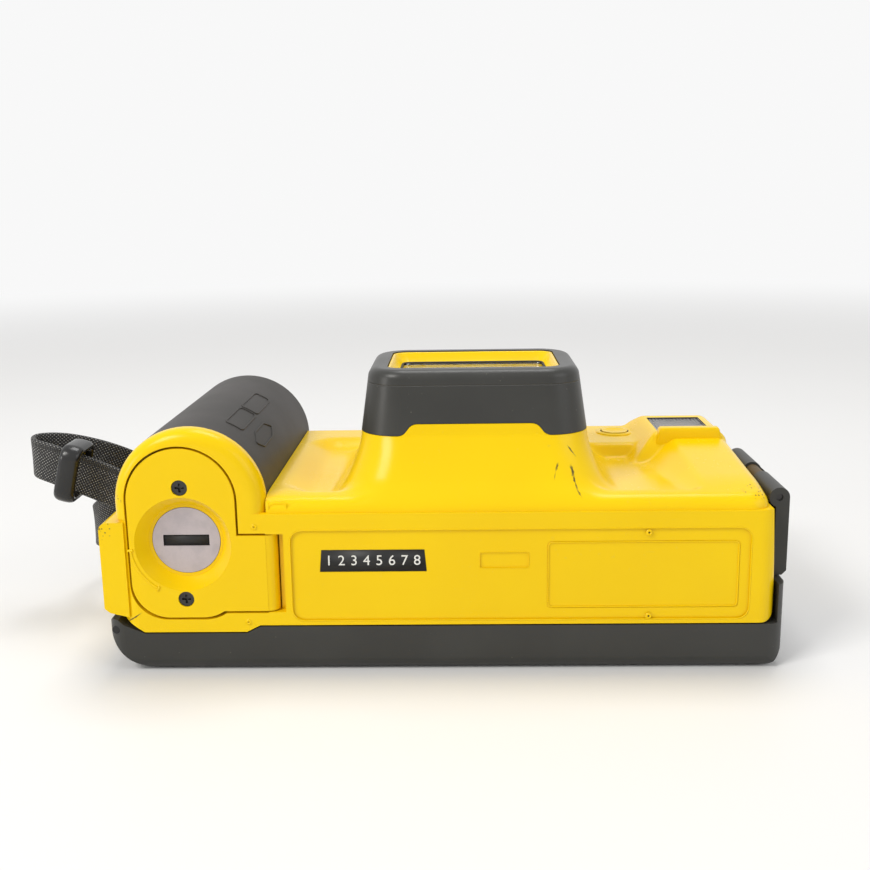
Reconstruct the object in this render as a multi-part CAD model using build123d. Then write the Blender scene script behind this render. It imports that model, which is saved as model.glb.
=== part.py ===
from build123d import *
from math import atan2, cos, degrees, hypot, pi, radians, sin, tan
import os

# The camera lies on its back. X runs along the film, Y from the base plate to the top plate,
# and Z from the back to the lens. The rear cover's face is at Z = 0. All sizes are in mm.

# Clearances
FIT = 0.3            # between mouldings that move past each other
SNUG = 0.1           # between pieces that are screwed or glued together
SHAFT_FIT = 0.06     # radial running fit of pins and shafts

# Housing
HOUSING_HALF = 36.0        # half the height of the camera as it is held
HOUSING_RIGHT = 72.1       # right end at the seam
HOUSING_DRAFT = 1.4        # how far the right end leans in up to the ledge
HOUSING_CORNER = 4.0
HOUSING_WALL = 2.4
SEAM_Z = 10.6
SEAM_DROP = 1.5            # the seam dips under the battery end
RECESS_X = 16.8             # long shallow recess of the base face
RECESS_Z = 21.85
RECESS_HALF_X = 49.4
RECESS_HALF_Z = 10.35
RECESS_CORNER = 2.6
RECESS_DEPTH = 0.4
NUMBER_PLATE_X = -14.7      # seats of the small marks in the recess
NUMBER_PLATE_Z = 25.1
NUMBER_PLATE_WIDTH = 23.2
NUMBER_PLATE_HEIGHT = 5.0
NUMBER_PLATE_LEAN = 84.3    # degrees of its ends
SMALL_BOX_X = 13.55
SMALL_BOX_Z = 25.05
SMALL_BOX_WIDTH = 10.5
SMALL_BOX_HEIGHT = 3.5
LABEL_X = 43.25
LABEL_Z = 21.65
LABEL_HALF_X = 20.55
LABEL_HALF_Z = 7.55
LABEL_CORNER = 0.8
LEDGE_Z = 35.8             # parting line of the front panel
LEDGE_STEP = 0.5

# Grip with the battery end
GRIP_X = -54.0
GRIP_Z = 38.0
GRIP_RADIUS = 16.3
GRIP_WALL = 2.0
END_CAP = 4.2
END_CAP_ROUND = 3.0
BLOCK_PROUD = 3.4          # strap block, beyond the grip's side
BLOCK_TOP_Z = 34.1
BLOCK_BOTTOM_Z = 13.6
BLOCK_ROUND = 1.8
STRAP_SLOT_Y = 5.0
STRAP_SLOT_WIDTH = 16.0
STRAP_SLOT_HEIGHT = 14.0
STRAP_SLOT_DEPTH = 5.1
STRAP_BAR_RADIUS = 1.1

# Battery and its door
BATTERY_X = -55.6
BATTERY_Z = 31.4
BATTERY_WIDTH = 17.0
BATTERY_DEPTH = 34.0
BATTERY_LENGTH = 45.0
BATTERY_GAP = 0.4
BATTERY_START = 9.2        # from the base face to the battery's near end
DOOR_WIDTH = 23.3
DOOR_HEIGHT = 37.8
DOOR_THICKNESS = 3.8
DOOR_CORNER = 8.0
DOOR_CENTRE_Z = 31.4
HINGE_TAB_TOP_Z = 31.0
HINGE_TAB_BOTTOM_Z = 13.9
DOOR_HINGE_X = -37.7
DOOR_HINGE_RADIUS = 2.3
DOOR_PIN_RADIUS = 0.8
DISH_RADIUS = 10.5
DISH_DEPTH = 3.3
DISC_RADIUS = 7.4
DISC_THICKNESS = 1.6
DISC_Z = 29.1
DISC_SHAFT_RADIUS = 3.0
COIN_SLOT_LENGTH = 10.1
COIN_SLOT_WIDTH = 2.5
DOOR_GAP = 0.5             # round the door's edge, so that it can swing
TONGUE_REACH = 10.0        # from the disc's axis to the cross-bar's ends
DOOR_SCREW_RADIUS = 1.65
DOOR_SCREW_SPREAD = 12.5   # from the disc to each screw

# Lens axis, film and chassis
LENS_X = 7.4
LENS_Y = -6.6
FILM_Z = 8.6
GATE_WIDTH = 36.0
GATE_HEIGHT = 24.0
CHASSIS_BACK_Z = 11.0
FILM_WIDTH = 35.0
SPOOL_X = -29.6
SPOOL_Z = 21.4
SPOOL_RADIUS = 9.0
SPOOL_BAY_RADIUS = 11.4
SPOOL_BAY_NEAR_Y = -28.2
SPOOL_BAY_FAR_Y = 14.0
MOTOR_RADIUS = 6.8
CASSETTE_X = 47.0
CASSETTE_RADIUS = 12.5
CASSETTE_LENGTH = 45.0
CASSETTE_GAP = 0.7
SPROCKET_RADIUS = 3.4
SPROCKET_TOOTH = 1.1
MECHANISM_WALL = 1.6       # wall between the cassette bay and the gears
GEAR_MODULE = 0.8
GEAR_WIDTH = 1.8
END_TEETH = 17             # gears of the spool and of the rewind fork
TRAIN_TEETH = 26           # the three gears between them
TRAIN_Z = 23.4             # shaft of the middle gear
GEAR_SHAFT_RADIUS = 1.0
SHAFT_RADIUS = 2.0
ROOM_WALL = 1.0            # thin walls between the rooms of the chassis
ROOM_NEAR_GAP = 0.2        # what fills the far rooms stands this clear of their walls
ROOM_FAR_GAP = 0.4
CAPACITOR_LENGTH = 22.0

# Lens and its port
BARREL_RADIUS = 10.6
BARREL_WALL = 1.6
BARREL_BACK_Z = 27.5
BARREL_LENGTH = 21.0
BARREL_TRAVEL = 6.0
FRONT_LENS_RADIUS = 7.4
REAR_LENS_RADIUS = 6.0
LENS_INSET = 3.2           # middle of each lens group, from the barrel's end
SHUTTER_START = 7.0        # from the barrel's back end to the shutter
SHUTTER_UNIT_HEIGHT = 4.0
ROD_RADIUS = 1.0
ROD_EYE_RADIUS = 2.2
ROD_EYE_LIFT = 2.0         # from the chassis to the barrel's eyes
ROD_EYE_LENGTH = 6.0
TURRET_HALF_X = 25.4       # half width of the lens turret under the hood
TURRET_HALF_Y = 19.4
TURRET_TOP_Z = 50.4
TURRET_CORNER = 9.0
HOOD_TOP_HALF_X = 23.4
HOOD_TOP_HALF_Y = 17.4
HOOD_TOP_Z = 64.5
HOOD_ROUND = 2.2
NECK_HALF_X = 21.2
NECK_HALF_Y = 15.2
NECK_WALL = 2.2
NECK_TOP_Z = 60.0
NOTCH_Z = 53.0             # the hood's edge is higher here between its corners
NOTCH_HALF = 12.5          # half length of the edge's level stretch
NOTCH_RUN = 4.4            # length of the S-curve at each end of it
PORT_HALF_X = 19.2         # window frame's rim
PORT_HALF_Y = 13.3
FUNNEL_STEP = 2.3          # how much the frame narrows towards the glass
GLASS_THICKNESS = 2.4
SEAL_THICKNESS = 0.8

# Front panel
PANEL_TOP_Z = 39.3
PANEL_WALL = 2.2
PANEL_ROUND = 2.9
POCKET_DEPTH = 2.3
POCKET_SLOPE = 35          # degrees that the pockets' walls lean out
POCKET_CORNER = 4.0
POCKET_NEAR = 8.0          # from the base face to the pockets' floors
POCKET_FAR = 16.5          # from the top face to the left pocket's floor
POCKET_BOSS_GAP = 9.8      # from the right pocket's floor to the self-timer's boss
LEFT_POCKET_WIDTH = 14.5
LEFT_POCKET_START = 3.2    # from the panel's left edge
RIGHT_POCKET_WIDTH = 10.5
FLASH_HOUSING_LEFT = 51.5
FLASH_TOP_Z = 43.6
FLASH_X = 60.0
FLASH_INSET = 19.4         # from the top face to the flash's middle
FLASH_WIDTH = 13.4
FLASH_HEIGHT = 16.4
FLASH_LIP_Z = 44.4         # low bar across the window's near edge
REFLECTOR_DEPTH = 5.6
FINDER_WIDTH = 24.0
FINDER_WALL = 1.2
HUMP_HALF = 20.0
HUMP_TOP_Z = 50.0
WINDOW_THICKNESS = 1.6
TIMER_X = 45.0
TIMER_INSET = 11.0         # from the top face
TIMER_RADIUS = 3.4
TIMER_BOSS = 1.6           # width of the raised ring round the button
TIMER_TRAVEL = 0.8

# Rear cover, its hinge and latch
COVER_LEFT = -73.6
COVER_RIGHT = 74.2
COVER_FLOOR = 2.6
COVER_WALL = 2.7
COVER_EDGE_ROUND = 3.0
COVER_RIGHT_ROUND = 6.0
COVER_LIP_Z = 18.9
HINGE_X = -71.7
HINGE_Z = 9.5
HINGE_PIN_RADIUS = 0.9
HINGE_LUG_RADIUS = 2.1
HINGE_LUG_LENGTH = 40.0
GASKET_WIDTH = 1.8
GASKET_HEIGHT = 3.3
PLATE_WIDTH = 38.0
PLATE_HEIGHT = 33.0
PLATE_THICKNESS = 1.0
PLATE_TRAVEL = 0.8
SPRING_WIDTH = 8.0
LATCH_PIN_X = 73.2
LATCH_PIN_Z = 36.9
LATCH_ROUND = 2.2
LATCH_THICKNESS = 3.0
LATCH_LENGTH = 38.0
LATCH_START = -30.0        # near end of the latch
LATCH_PIN_RADIUS = 0.8
LATCH_LUG_LENGTH = 8.0

# Top plate
SHUTTER_RADIUS = 6.0
SHUTTER_TRAVEL = 1.2
SHUTTER_PROUD = 1.6
SHUTTER_DEPTH = 3.2        # the button inside the top face
SHUTTER_ROOM = 7.4         # depth of the spring's room
SWITCH_X = -24.0
SWITCH_Z = 27.0
SWITCH_LENGTH = 9.0
SWITCH_WIDTH = 6.0
SWITCH_TRAVEL = 5.0
ZOOM_X = 33.0
ZOOM_Z = 29.5
ZOOM_RADIUS = 3.5
ZOOM_TRAVEL = 0.9
COUNTER_X = 55.0
COUNTER_Z = 26.0
COUNTER_RADIUS = 4.5

# Wrist strap
STRAP_WIDTH = 10.0
STRAP_THICKNESS = 1.2
BUCKLE_HEIGHT = 13.0
BUCKLE_LENGTH = 12.5
BUCKLE_THICKNESS = 3.0

# Places worked out from the sizes above
GRIP_LEFT = GRIP_X - GRIP_RADIUS
GRIP_RIGHT = GRIP_X + GRIP_RADIUS
BASE = -HOUSING_HALF
TOP = HOUSING_HALF
SEAM_LOW_Z = SEAM_Z - SEAM_DROP
COVER_TOP_Z = SEAM_Z - FIT
DOOR_TOP_Z = DOOR_CENTRE_Z + DOOR_HEIGHT / 2
DOOR_BOTTOM_Z = DOOR_CENTRE_Z - DOOR_HEIGHT / 2
DOOR_FACE_Y = BASE + DOOR_THICKNESS
CHAMBER_RADIUS = BATTERY_WIDTH / 2 + BATTERY_GAP
CHAMBER_HALF_STRAIGHT = (BATTERY_DEPTH - BATTERY_WIDTH) / 2
BATTERY_NEAR_Y = BASE + BATTERY_START
BATTERY_FAR_Y = BATTERY_NEAR_Y + BATTERY_LENGTH
CHAMBER_LEFT = BATTERY_X + CHAMBER_RADIUS + HOUSING_WALL
CHAMBER_RIGHT = HOUSING_RIGHT - HOUSING_WALL - 0.2
CHASSIS_TOP_Z = LEDGE_Z - SNUG
CHASSIS_HALF = HOUSING_HALF - HOUSING_WALL
CASSETTE_Z = FILM_Z + CASSETTE_RADIUS
CASSETTE_BAY_RADIUS = CASSETTE_RADIUS + CASSETTE_GAP
CASSETTE_NEAR_Y = LENS_Y - CASSETTE_LENGTH / 2 - 0.5
CASSETTE_FAR_Y = LENS_Y + CASSETTE_LENGTH / 2 + 0.5
GEAR_SLOT_Y = CASSETTE_FAR_Y + MECHANISM_WALL
GEAR_Y = GEAR_SLOT_Y + FIT
GEAR_SLOT_END_Y = GEAR_Y + GEAR_WIDTH + FIT
ROOM_Y = GEAR_SLOT_END_Y + ROOM_WALL
ROOM_END_Y = CHASSIS_HALF - ROOM_WALL
FINDER_HEIGHT = ROOM_END_Y - ROOM_FAR_GAP - ROOM_Y - ROOM_NEAR_GAP
FINDER_Y = ROOM_Y + ROOM_NEAR_GAP + FINDER_HEIGHT / 2
CAPACITOR_RADIUS = FINDER_HEIGHT / 2
FLASH_Y = TOP - FLASH_INSET
TIMER_Y = TOP - TIMER_INSET
FINDER_LEFT = LENS_X - FINDER_WIDTH / 2
FINDER_RIGHT = LENS_X + FINDER_WIDTH / 2
SPROCKET_X = LENS_X - GATE_WIDTH / 2 - SPROCKET_RADIUS - 3.0
SPROCKET_Z = FILM_Z + SPROCKET_RADIUS + 0.2
FILM_NEAR_Y = LENS_Y - FILM_WIDTH / 2
FILM_FAR_Y = LENS_Y + FILM_WIDTH / 2
FLASH_NEAR_Y = FLASH_Y - FLASH_HEIGHT / 2
POST_RIGHT = DOOR_HINGE_X + DOOR_HINGE_RADIUS + FIT + 1.2 + HOUSING_WALL
POST_FAR_Y = BASE + 2 * DOOR_HINGE_RADIUS + FIT + 1.8
NECK_INNER_X = NECK_HALF_X - NECK_WALL
NECK_INNER_Y = NECK_HALF_Y - NECK_WALL
GLASS_FLOOR_Z = NECK_TOP_Z - GLASS_THICKNESS
DISC_FACE_Y = BASE + DISH_DEPTH
FINDER_BACK_Z = 1.2
LATCH_END_Z = COVER_LIP_Z + FIT + 0.1


def block(x_low, x_high, y_low, y_high, z_low, z_high):
    """A box between two corners."""
    size = Box(x_high - x_low, y_high - y_low, z_high - z_low)
    return Pos((x_low + x_high) / 2, (y_low + y_high) / 2, (z_low + z_high) / 2) * size


def along_x(drawing, x_low, x_high):
    """Extrude a drawing of Y and Z from x_low to x_high."""
    plane = Plane(origin=(x_low, 0, 0), x_dir=(0, 1, 0), z_dir=(1, 0, 0))
    return extrude(plane * drawing, amount=x_high - x_low)


def along_y(drawing, y_low, y_high):
    """Extrude a drawing of X and Z from y_low to y_high."""
    plane = Plane(origin=(0, y_low, 0), x_dir=(1, 0, 0), z_dir=(0, -1, 0))
    return extrude(plane * drawing, amount=y_low - y_high)


def along_z(drawing, z_low, z_high):
    """Extrude a drawing of X and Y from z_low to z_high."""
    return extrude(Pos(0, 0, z_low) * drawing, amount=z_high - z_low)


def rod_x(y, z, radius, x_low, x_high):
    """A round bar along X."""
    return along_x(Pos(y, z) * Circle(radius), x_low, x_high)


def rod_y(x, z, radius, y_low, y_high):
    """A round bar along Y."""
    return along_y(Pos(x, z) * Circle(radius), y_low, y_high)


def rod_z(x, y, radius, z_low, z_high):
    """A round bar along Z."""
    return along_z(Pos(x, y) * Circle(radius), z_low, z_high)


def rounded(half_x, half_y, corner):
    """A rectangle with rounded corners, centred on the origin."""
    return RectangleRounded(2 * half_x, 2 * half_y, corner)


def outline(*points):
    """A closed face through the points."""
    return make_face(Polyline(*points, close=True))


def stadium(radius, half_straight):
    """The battery's oblong section, upright, centred on the origin."""
    middle = Rectangle(2 * radius, 2 * half_straight)
    return middle + Pos(0, half_straight) * Circle(radius) + Pos(0, -half_straight) * Circle(radius)


# Housing


def housing_side(right):
    """X-Z outline of the body shell, with the slope that rises around the cover's hinge."""
    round_x = right - END_CAP_ROUND
    side = Polyline(
        (right, SEAM_Z + END_CAP_ROUND),
        (right - HOUSING_DRAFT, LEDGE_Z),
        (GRIP_LEFT, LEDGE_Z),
        (GRIP_LEFT, SEAM_LOW_Z + 3.4),
        (GRIP_LEFT + 5.1, SEAM_LOW_Z),
        (CHAMBER_LEFT + 1.6, SEAM_LOW_Z),
        (CHAMBER_LEFT + 1.6 + 2 * SEAM_DROP, SEAM_Z),
        (round_x, SEAM_Z),
    )
    corner = RadiusArc((round_x, SEAM_Z), (right, SEAM_Z + END_CAP_ROUND), -END_CAP_ROUND)
    return make_face(side + corner)


def plan_outline(left, right, half, corner):
    """X-Y outline with rounded corners."""
    return Pos((left + right) / 2, 0) * rounded((right - left) / 2, half, corner)


def door_outline(grow):
    """X-Z outline of the battery door: an arch over a rounded foot, with the hinge tab beside it."""
    half = DOOR_WIDTH / 2 + grow
    arch_z = DOOR_TOP_Z - DOOR_WIDTH / 2
    foot_z = DOOR_BOTTOM_Z - grow
    foot = Pos(BATTERY_X, (arch_z + foot_z) / 2) * Rectangle(2 * half, arch_z - foot_z)
    foot = fillet(foot.vertices().sort_by(Axis.Y)[:2], DOOR_CORNER)
    tab = outline(
        (BATTERY_X, HINGE_TAB_BOTTOM_Z - grow),
        (DOOR_HINGE_X, HINGE_TAB_BOTTOM_Z - grow),
        (DOOR_HINGE_X, HINGE_TAB_TOP_Z + grow),
        (BATTERY_X, HINGE_TAB_TOP_Z + grow),
    )
    return foot + Pos(BATTERY_X, arch_z) * Circle(half) + tab


def door_hinge_y():
    """The door's hinge line lies one barrel radius inside the base face."""
    return BASE + DOOR_HINGE_RADIUS + 0.1


def door_post(grow):
    """Solid corner of the body shell that carries the door's hinge, clear of the spool's bay."""
    post = block(
        CHAMBER_LEFT - 1, POST_RIGHT + grow, BASE, POST_FAR_Y + grow, CHASSIS_BACK_Z - grow, LEDGE_Z + 2,
    )
    return post - rod_y(SPOOL_X, SPOOL_Z, SPOOL_BAY_RADIUS, SPOOL_BAY_NEAR_Y, TOP)


def end_cap():
    """The arched yellow end of the grip, rounded over towards the base face."""
    arch = Pos(GRIP_X, GRIP_Z) * Circle(GRIP_RADIUS)
    legs = Pos(GRIP_X, (GRIP_Z + SEAM_Z) / 2) * Rectangle(2 * GRIP_RADIUS, GRIP_Z - SEAM_Z)
    cap = along_y(arch + legs, BASE, BASE + END_CAP)
    near_edges = cap.faces().sort_by(Axis.Y)[0].edges()
    arch_edges = near_edges.filter_by(lambda edge: edge.center().Z > SEAM_Z + 1)
    cap = fillet(arch_edges, END_CAP_ROUND)
    return cap & block(GRIP_LEFT, GRIP_RIGHT, BASE, BASE + END_CAP, LEDGE_Z - 1, GRIP_Z + GRIP_RADIUS)


def strap_block():
    """The block beside the grip with the slot that the strap goes through."""
    left = GRIP_LEFT - BLOCK_PROUD
    face = outline(
        (left, BLOCK_BOTTOM_Z + 1.0),
        (left + 1.2, BLOCK_BOTTOM_Z),
        (GRIP_LEFT + 2, BLOCK_BOTTOM_Z - 1.0),
        (GRIP_LEFT + 2, BLOCK_TOP_Z),
        (left, BLOCK_TOP_Z),
    )
    face = fillet(face.vertices().sort_by(Axis.X)[:2].sort_by(Axis.Y)[-1:], BLOCK_ROUND)
    body = along_y(face, BASE, TOP - HOUSING_CORNER)
    slot = block(
        left - 1, left + STRAP_SLOT_DEPTH,
        STRAP_SLOT_Y - STRAP_SLOT_WIDTH / 2, STRAP_SLOT_Y + STRAP_SLOT_WIDTH / 2,
        strap_bar_z() - STRAP_SLOT_HEIGHT / 2, strap_bar_z() + STRAP_SLOT_HEIGHT / 2,
    )
    return body, slot


def strap_bar_x():
    """The bar lies a webbing's thickness and a gap inside the block's face."""
    return GRIP_LEFT - BLOCK_PROUD + STRAP_BAR_RADIUS + 0.6


def strap_bar_z():
    """Middle of the strap slot."""
    return BLOCK_TOP_Z - 1.6 - STRAP_SLOT_HEIGHT / 2


def strap_bar():
    """Steel bar that the strap loops round, let into the block above and below the slot."""
    half = STRAP_SLOT_HEIGHT / 2 + 1.2
    return rod_z(strap_bar_x(), STRAP_SLOT_Y, STRAP_BAR_RADIUS, strap_bar_z() - half, strap_bar_z() + half)


def hinge_lug():
    """Yellow lug of the body shell around the middle of the cover's hinge pin."""
    half = HINGE_LUG_LENGTH / 2
    barrel = rod_y(HINGE_X, HINGE_Z, HINGE_LUG_RADIUS, -half, half)
    web = outline(
        (HINGE_X - 1.2, HINGE_Z + 1.4),
        (HINGE_X + 1.0, HINGE_Z + 0.6),
        (GRIP_LEFT + 2.8, SEAM_LOW_Z + 4.2),
        (GRIP_LEFT + 0.2, SEAM_LOW_Z + 5.6),
    )
    return barrel + along_y(web, -half, half)


def latch_lug():
    """Yellow lug on the right end that carries the middle of the latch pin."""
    low = LATCH_START + (LATCH_LENGTH - LATCH_LUG_LENGTH) / 2
    high = low + LATCH_LUG_LENGTH
    barrel = rod_y(LATCH_PIN_X, LATCH_PIN_Z, LATCH_ROUND - 0.5, low, high)
    inner_x = HOUSING_RIGHT - HOUSING_DRAFT - 0.6
    web = block(
        inner_x, LATCH_PIN_X, low, high, LATCH_PIN_Z - LATCH_ROUND - 3.0, LATCH_PIN_Z - 0.2,
    )
    return (barrel + web) - block(inner_x - 1, LATCH_PIN_X + 3, low - 1, high + 1, LEDGE_Z, 60) + barrel


def base_marks():
    """Shallow recesses of the base face: the long panel, the number plate, the small box and the label."""
    recess = Pos(RECESS_X, RECESS_Z) * rounded(RECESS_HALF_X, RECESS_HALF_Z, RECESS_CORNER)
    plate = Pos(NUMBER_PLATE_X, NUMBER_PLATE_Z) * Trapezoid(NUMBER_PLATE_WIDTH, NUMBER_PLATE_HEIGHT, NUMBER_PLATE_LEAN)
    box = Pos(SMALL_BOX_X, SMALL_BOX_Z) * Rectangle(SMALL_BOX_WIDTH, SMALL_BOX_HEIGHT)
    label = Pos(LABEL_X, LABEL_Z) * rounded(LABEL_HALF_X, LABEL_HALF_Z, LABEL_CORNER)
    marks = along_y(recess, BASE - 1, BASE + RECESS_DEPTH)
    for mark, deeper in ((plate, 0.15), (box, 0.2), (label, 0.12)):
        marks += along_y(mark, BASE - 1, BASE + RECESS_DEPTH + deeper)
    return marks


def body_shell():
    """Yellow body moulding: a tube round the chassis, the battery chamber and the grip's core."""
    shell = along_y(housing_side(HOUSING_RIGHT), BASE, TOP)
    shell &= along_z(plan_outline(GRIP_LEFT, HOUSING_RIGHT, HOUSING_HALF, HOUSING_CORNER), 0, 60)
    block_body, strap_slot = strap_block()
    shell += block_body
    core = rod_y(GRIP_X, GRIP_Z, GRIP_RADIUS - GRIP_WALL - SNUG, BASE + END_CAP, TOP - HOUSING_WALL)
    core &= block(GRIP_LEFT, GRIP_RIGHT, BASE, TOP, LEDGE_Z - 1, 80)
    shell += core
    shell += end_cap()
    room = block(CHAMBER_LEFT, CHAMBER_RIGHT, -CHASSIS_HALF, CHASSIS_HALF, 0, LEDGE_Z + 1)
    shell -= room - door_post(0)
    # Room for the cover's hinge knuckles, then the lug between them
    shell -= rod_y(HINGE_X, HINGE_Z, 3.3, BASE - 1, TOP + 1)
    shell += hinge_lug()
    shell -= rod_y(HINGE_X, HINGE_Z, HINGE_PIN_RADIUS + SHAFT_FIT, BASE, TOP)
    # Battery chamber and the door's seat
    seat_y = DOOR_FACE_Y + FIT
    shell -= along_y(door_outline(DOOR_GAP), BASE - 1, seat_y)
    barrel_room = DOOR_HINGE_RADIUS + FIT
    shell -= along_y(
        outline(
            (DOOR_HINGE_X - 1, HINGE_TAB_BOTTOM_Z - FIT),
            (DOOR_HINGE_X + barrel_room + 1.2, HINGE_TAB_BOTTOM_Z - FIT),
            (DOOR_HINGE_X + barrel_room + 1.2, HINGE_TAB_TOP_Z + FIT),
            (DOOR_HINGE_X - 1, HINGE_TAB_TOP_Z + FIT),
        ),
        BASE - 1, BASE + 2.3,
    )
    shell -= rod_z(
        DOOR_HINGE_X, door_hinge_y(), barrel_room, HINGE_TAB_BOTTOM_Z - FIT, HINGE_TAB_TOP_Z + FIT,
    )
    shell -= rod_z(
        DOOR_HINGE_X, door_hinge_y(), DOOR_PIN_RADIUS, HINGE_TAB_BOTTOM_Z - 1.5, HINGE_TAB_TOP_Z + 1.5,
    )
    chamber = Pos(BATTERY_X, BATTERY_Z) * stadium(CHAMBER_RADIUS, CHAMBER_HALF_STRAIGHT)
    shell -= along_y(chamber, seat_y - 0.1, BATTERY_FAR_Y + 2.0)
    # Undercut that the lock's cross-bar turns into
    shell -= rod_y(BATTERY_X, DISC_Z, TONGUE_REACH + FIT, tongue_start() - FIT, tongue_start() + 1.4 + FIT)
    # Shutter button's bore, and the top plate's openings
    bore = SHUTTER_RADIUS + FIT
    shell -= rod_y(GRIP_X, GRIP_Z, bore, TOP - SHUTTER_ROOM - SNUG, TOP + 1)
    slot = Pos(SWITCH_X, SWITCH_Z) * SlotOverall(SWITCH_TRAVEL + 3.0 + 2 * FIT, 3.0 + 2 * FIT)
    shell -= along_y(slot, TOP - HOUSING_WALL - 1, TOP + 1)
    shell -= rod_y(ZOOM_X, ZOOM_Z, ZOOM_RADIUS + FIT, TOP - HOUSING_WALL - 1, TOP + 1)
    shell -= rod_y(COUNTER_X, COUNTER_Z, COUNTER_RADIUS + SNUG, TOP - HOUSING_WALL - 1, TOP + 1)
    # Strap slot and its bar
    shell -= strap_slot
    bar_half = STRAP_SLOT_HEIGHT / 2 + 1.2
    shell -= rod_z(
        strap_bar_x(), STRAP_SLOT_Y, STRAP_BAR_RADIUS, strap_bar_z() - bar_half, strap_bar_z() + bar_half,
    )
    # Latch lug and pin hole
    shell += latch_lug()
    shell -= rod_y(LATCH_PIN_X, LATCH_PIN_Z, LATCH_PIN_RADIUS + SHAFT_FIT, BASE, TOP)
    shell -= base_marks()
    return shell


def grip_cover():
    """Dark rubbery half tube over the grip, closed at the top plate round the shutter button."""
    near = BASE + END_CAP + SNUG
    arch = Pos(GRIP_X, GRIP_Z) * Circle(GRIP_RADIUS)
    hollow = Pos(GRIP_X, GRIP_Z) * Circle(GRIP_RADIUS - GRIP_WALL)
    cover = along_y(arch, near, TOP) - along_y(hollow, near - 1, TOP - HOUSING_WALL + SNUG)
    cover &= block(GRIP_LEFT, GRIP_RIGHT, BASE, TOP, LEDGE_Z + SNUG, 80)
    cover -= rod_y(GRIP_X, GRIP_Z, SHUTTER_RADIUS + FIT, TOP - 5, TOP + 1)
    return cover


# Front panel with the turret


def turret_section(half_x, half_y, corner, z):
    """One level of the turret, centred on the lens axis."""
    return Pos(LENS_X, LENS_Y, z) * rounded(half_x, half_y, corner)


def hood_body():
    """Outer form of the lens hood, from the turret up to its rim."""
    body = loft([
        turret_section(TURRET_HALF_X, TURRET_HALF_Y, TURRET_CORNER, TURRET_TOP_Z),
        turret_section(HOOD_TOP_HALF_X, HOOD_TOP_HALF_Y, TURRET_CORNER - 1, HOOD_TOP_Z),
    ], ruled=True)
    return fillet(body.faces().sort_by(Axis.Z)[-1].edges(), HOOD_ROUND)


def hood_notch(grow):
    """X-Z outline of the step where the turret rises into the hood between its corners."""
    low = TURRET_TOP_Z - 1
    high = NOTCH_Z + grow
    top_x = NOTCH_HALF + grow
    foot_x = top_x + NOTCH_RUN
    middle = ((top_x + foot_x) / 2, (TURRET_TOP_Z + high) / 2)
    rise = TangentArc((foot_x, TURRET_TOP_Z), middle, tangent=(-1, 0))
    crest = TangentArc(middle, (top_x, high), tangent=rise % 1)
    right = Polyline((0, low), (foot_x, low), (foot_x, TURRET_TOP_Z)) + rise + crest + Line((top_x, high), (0, high))
    half = make_face(right + Line((0, high), (0, low)))
    return Pos(LENS_X) * (half + mirror(half, about=Plane.YZ))


def turret():
    """The flared yellow block under the hood, and the neck inside the hood."""
    flare = loft([
        turret_section(TURRET_HALF_X + 6.0, TURRET_HALF_Y + 9.3, TURRET_CORNER + 2, PANEL_TOP_Z - 3.0),
        turret_section(TURRET_HALF_X + 3.8, TURRET_HALF_Y + 8.2, TURRET_CORNER + 1, PANEL_TOP_Z - 0.6),
        turret_section(TURRET_HALF_X + 2.0, TURRET_HALF_Y + 5.4, TURRET_CORNER, PANEL_TOP_Z + 3.4),
        turret_section(TURRET_HALF_X + 0.8, TURRET_HALF_Y + 2.4, TURRET_CORNER, PANEL_TOP_Z + 7.6),
        turret_section(TURRET_HALF_X, TURRET_HALF_Y, TURRET_CORNER, TURRET_TOP_Z),
    ], ruled=True)
    step = hood_body() & along_y(hood_notch(-SNUG), BASE, TOP)
    neck = along_z(turret_section(NECK_HALF_X, NECK_HALF_Y, 4.0, 0), TURRET_TOP_Z - 1, NECK_TOP_Z)
    return flare + step + neck


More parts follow.
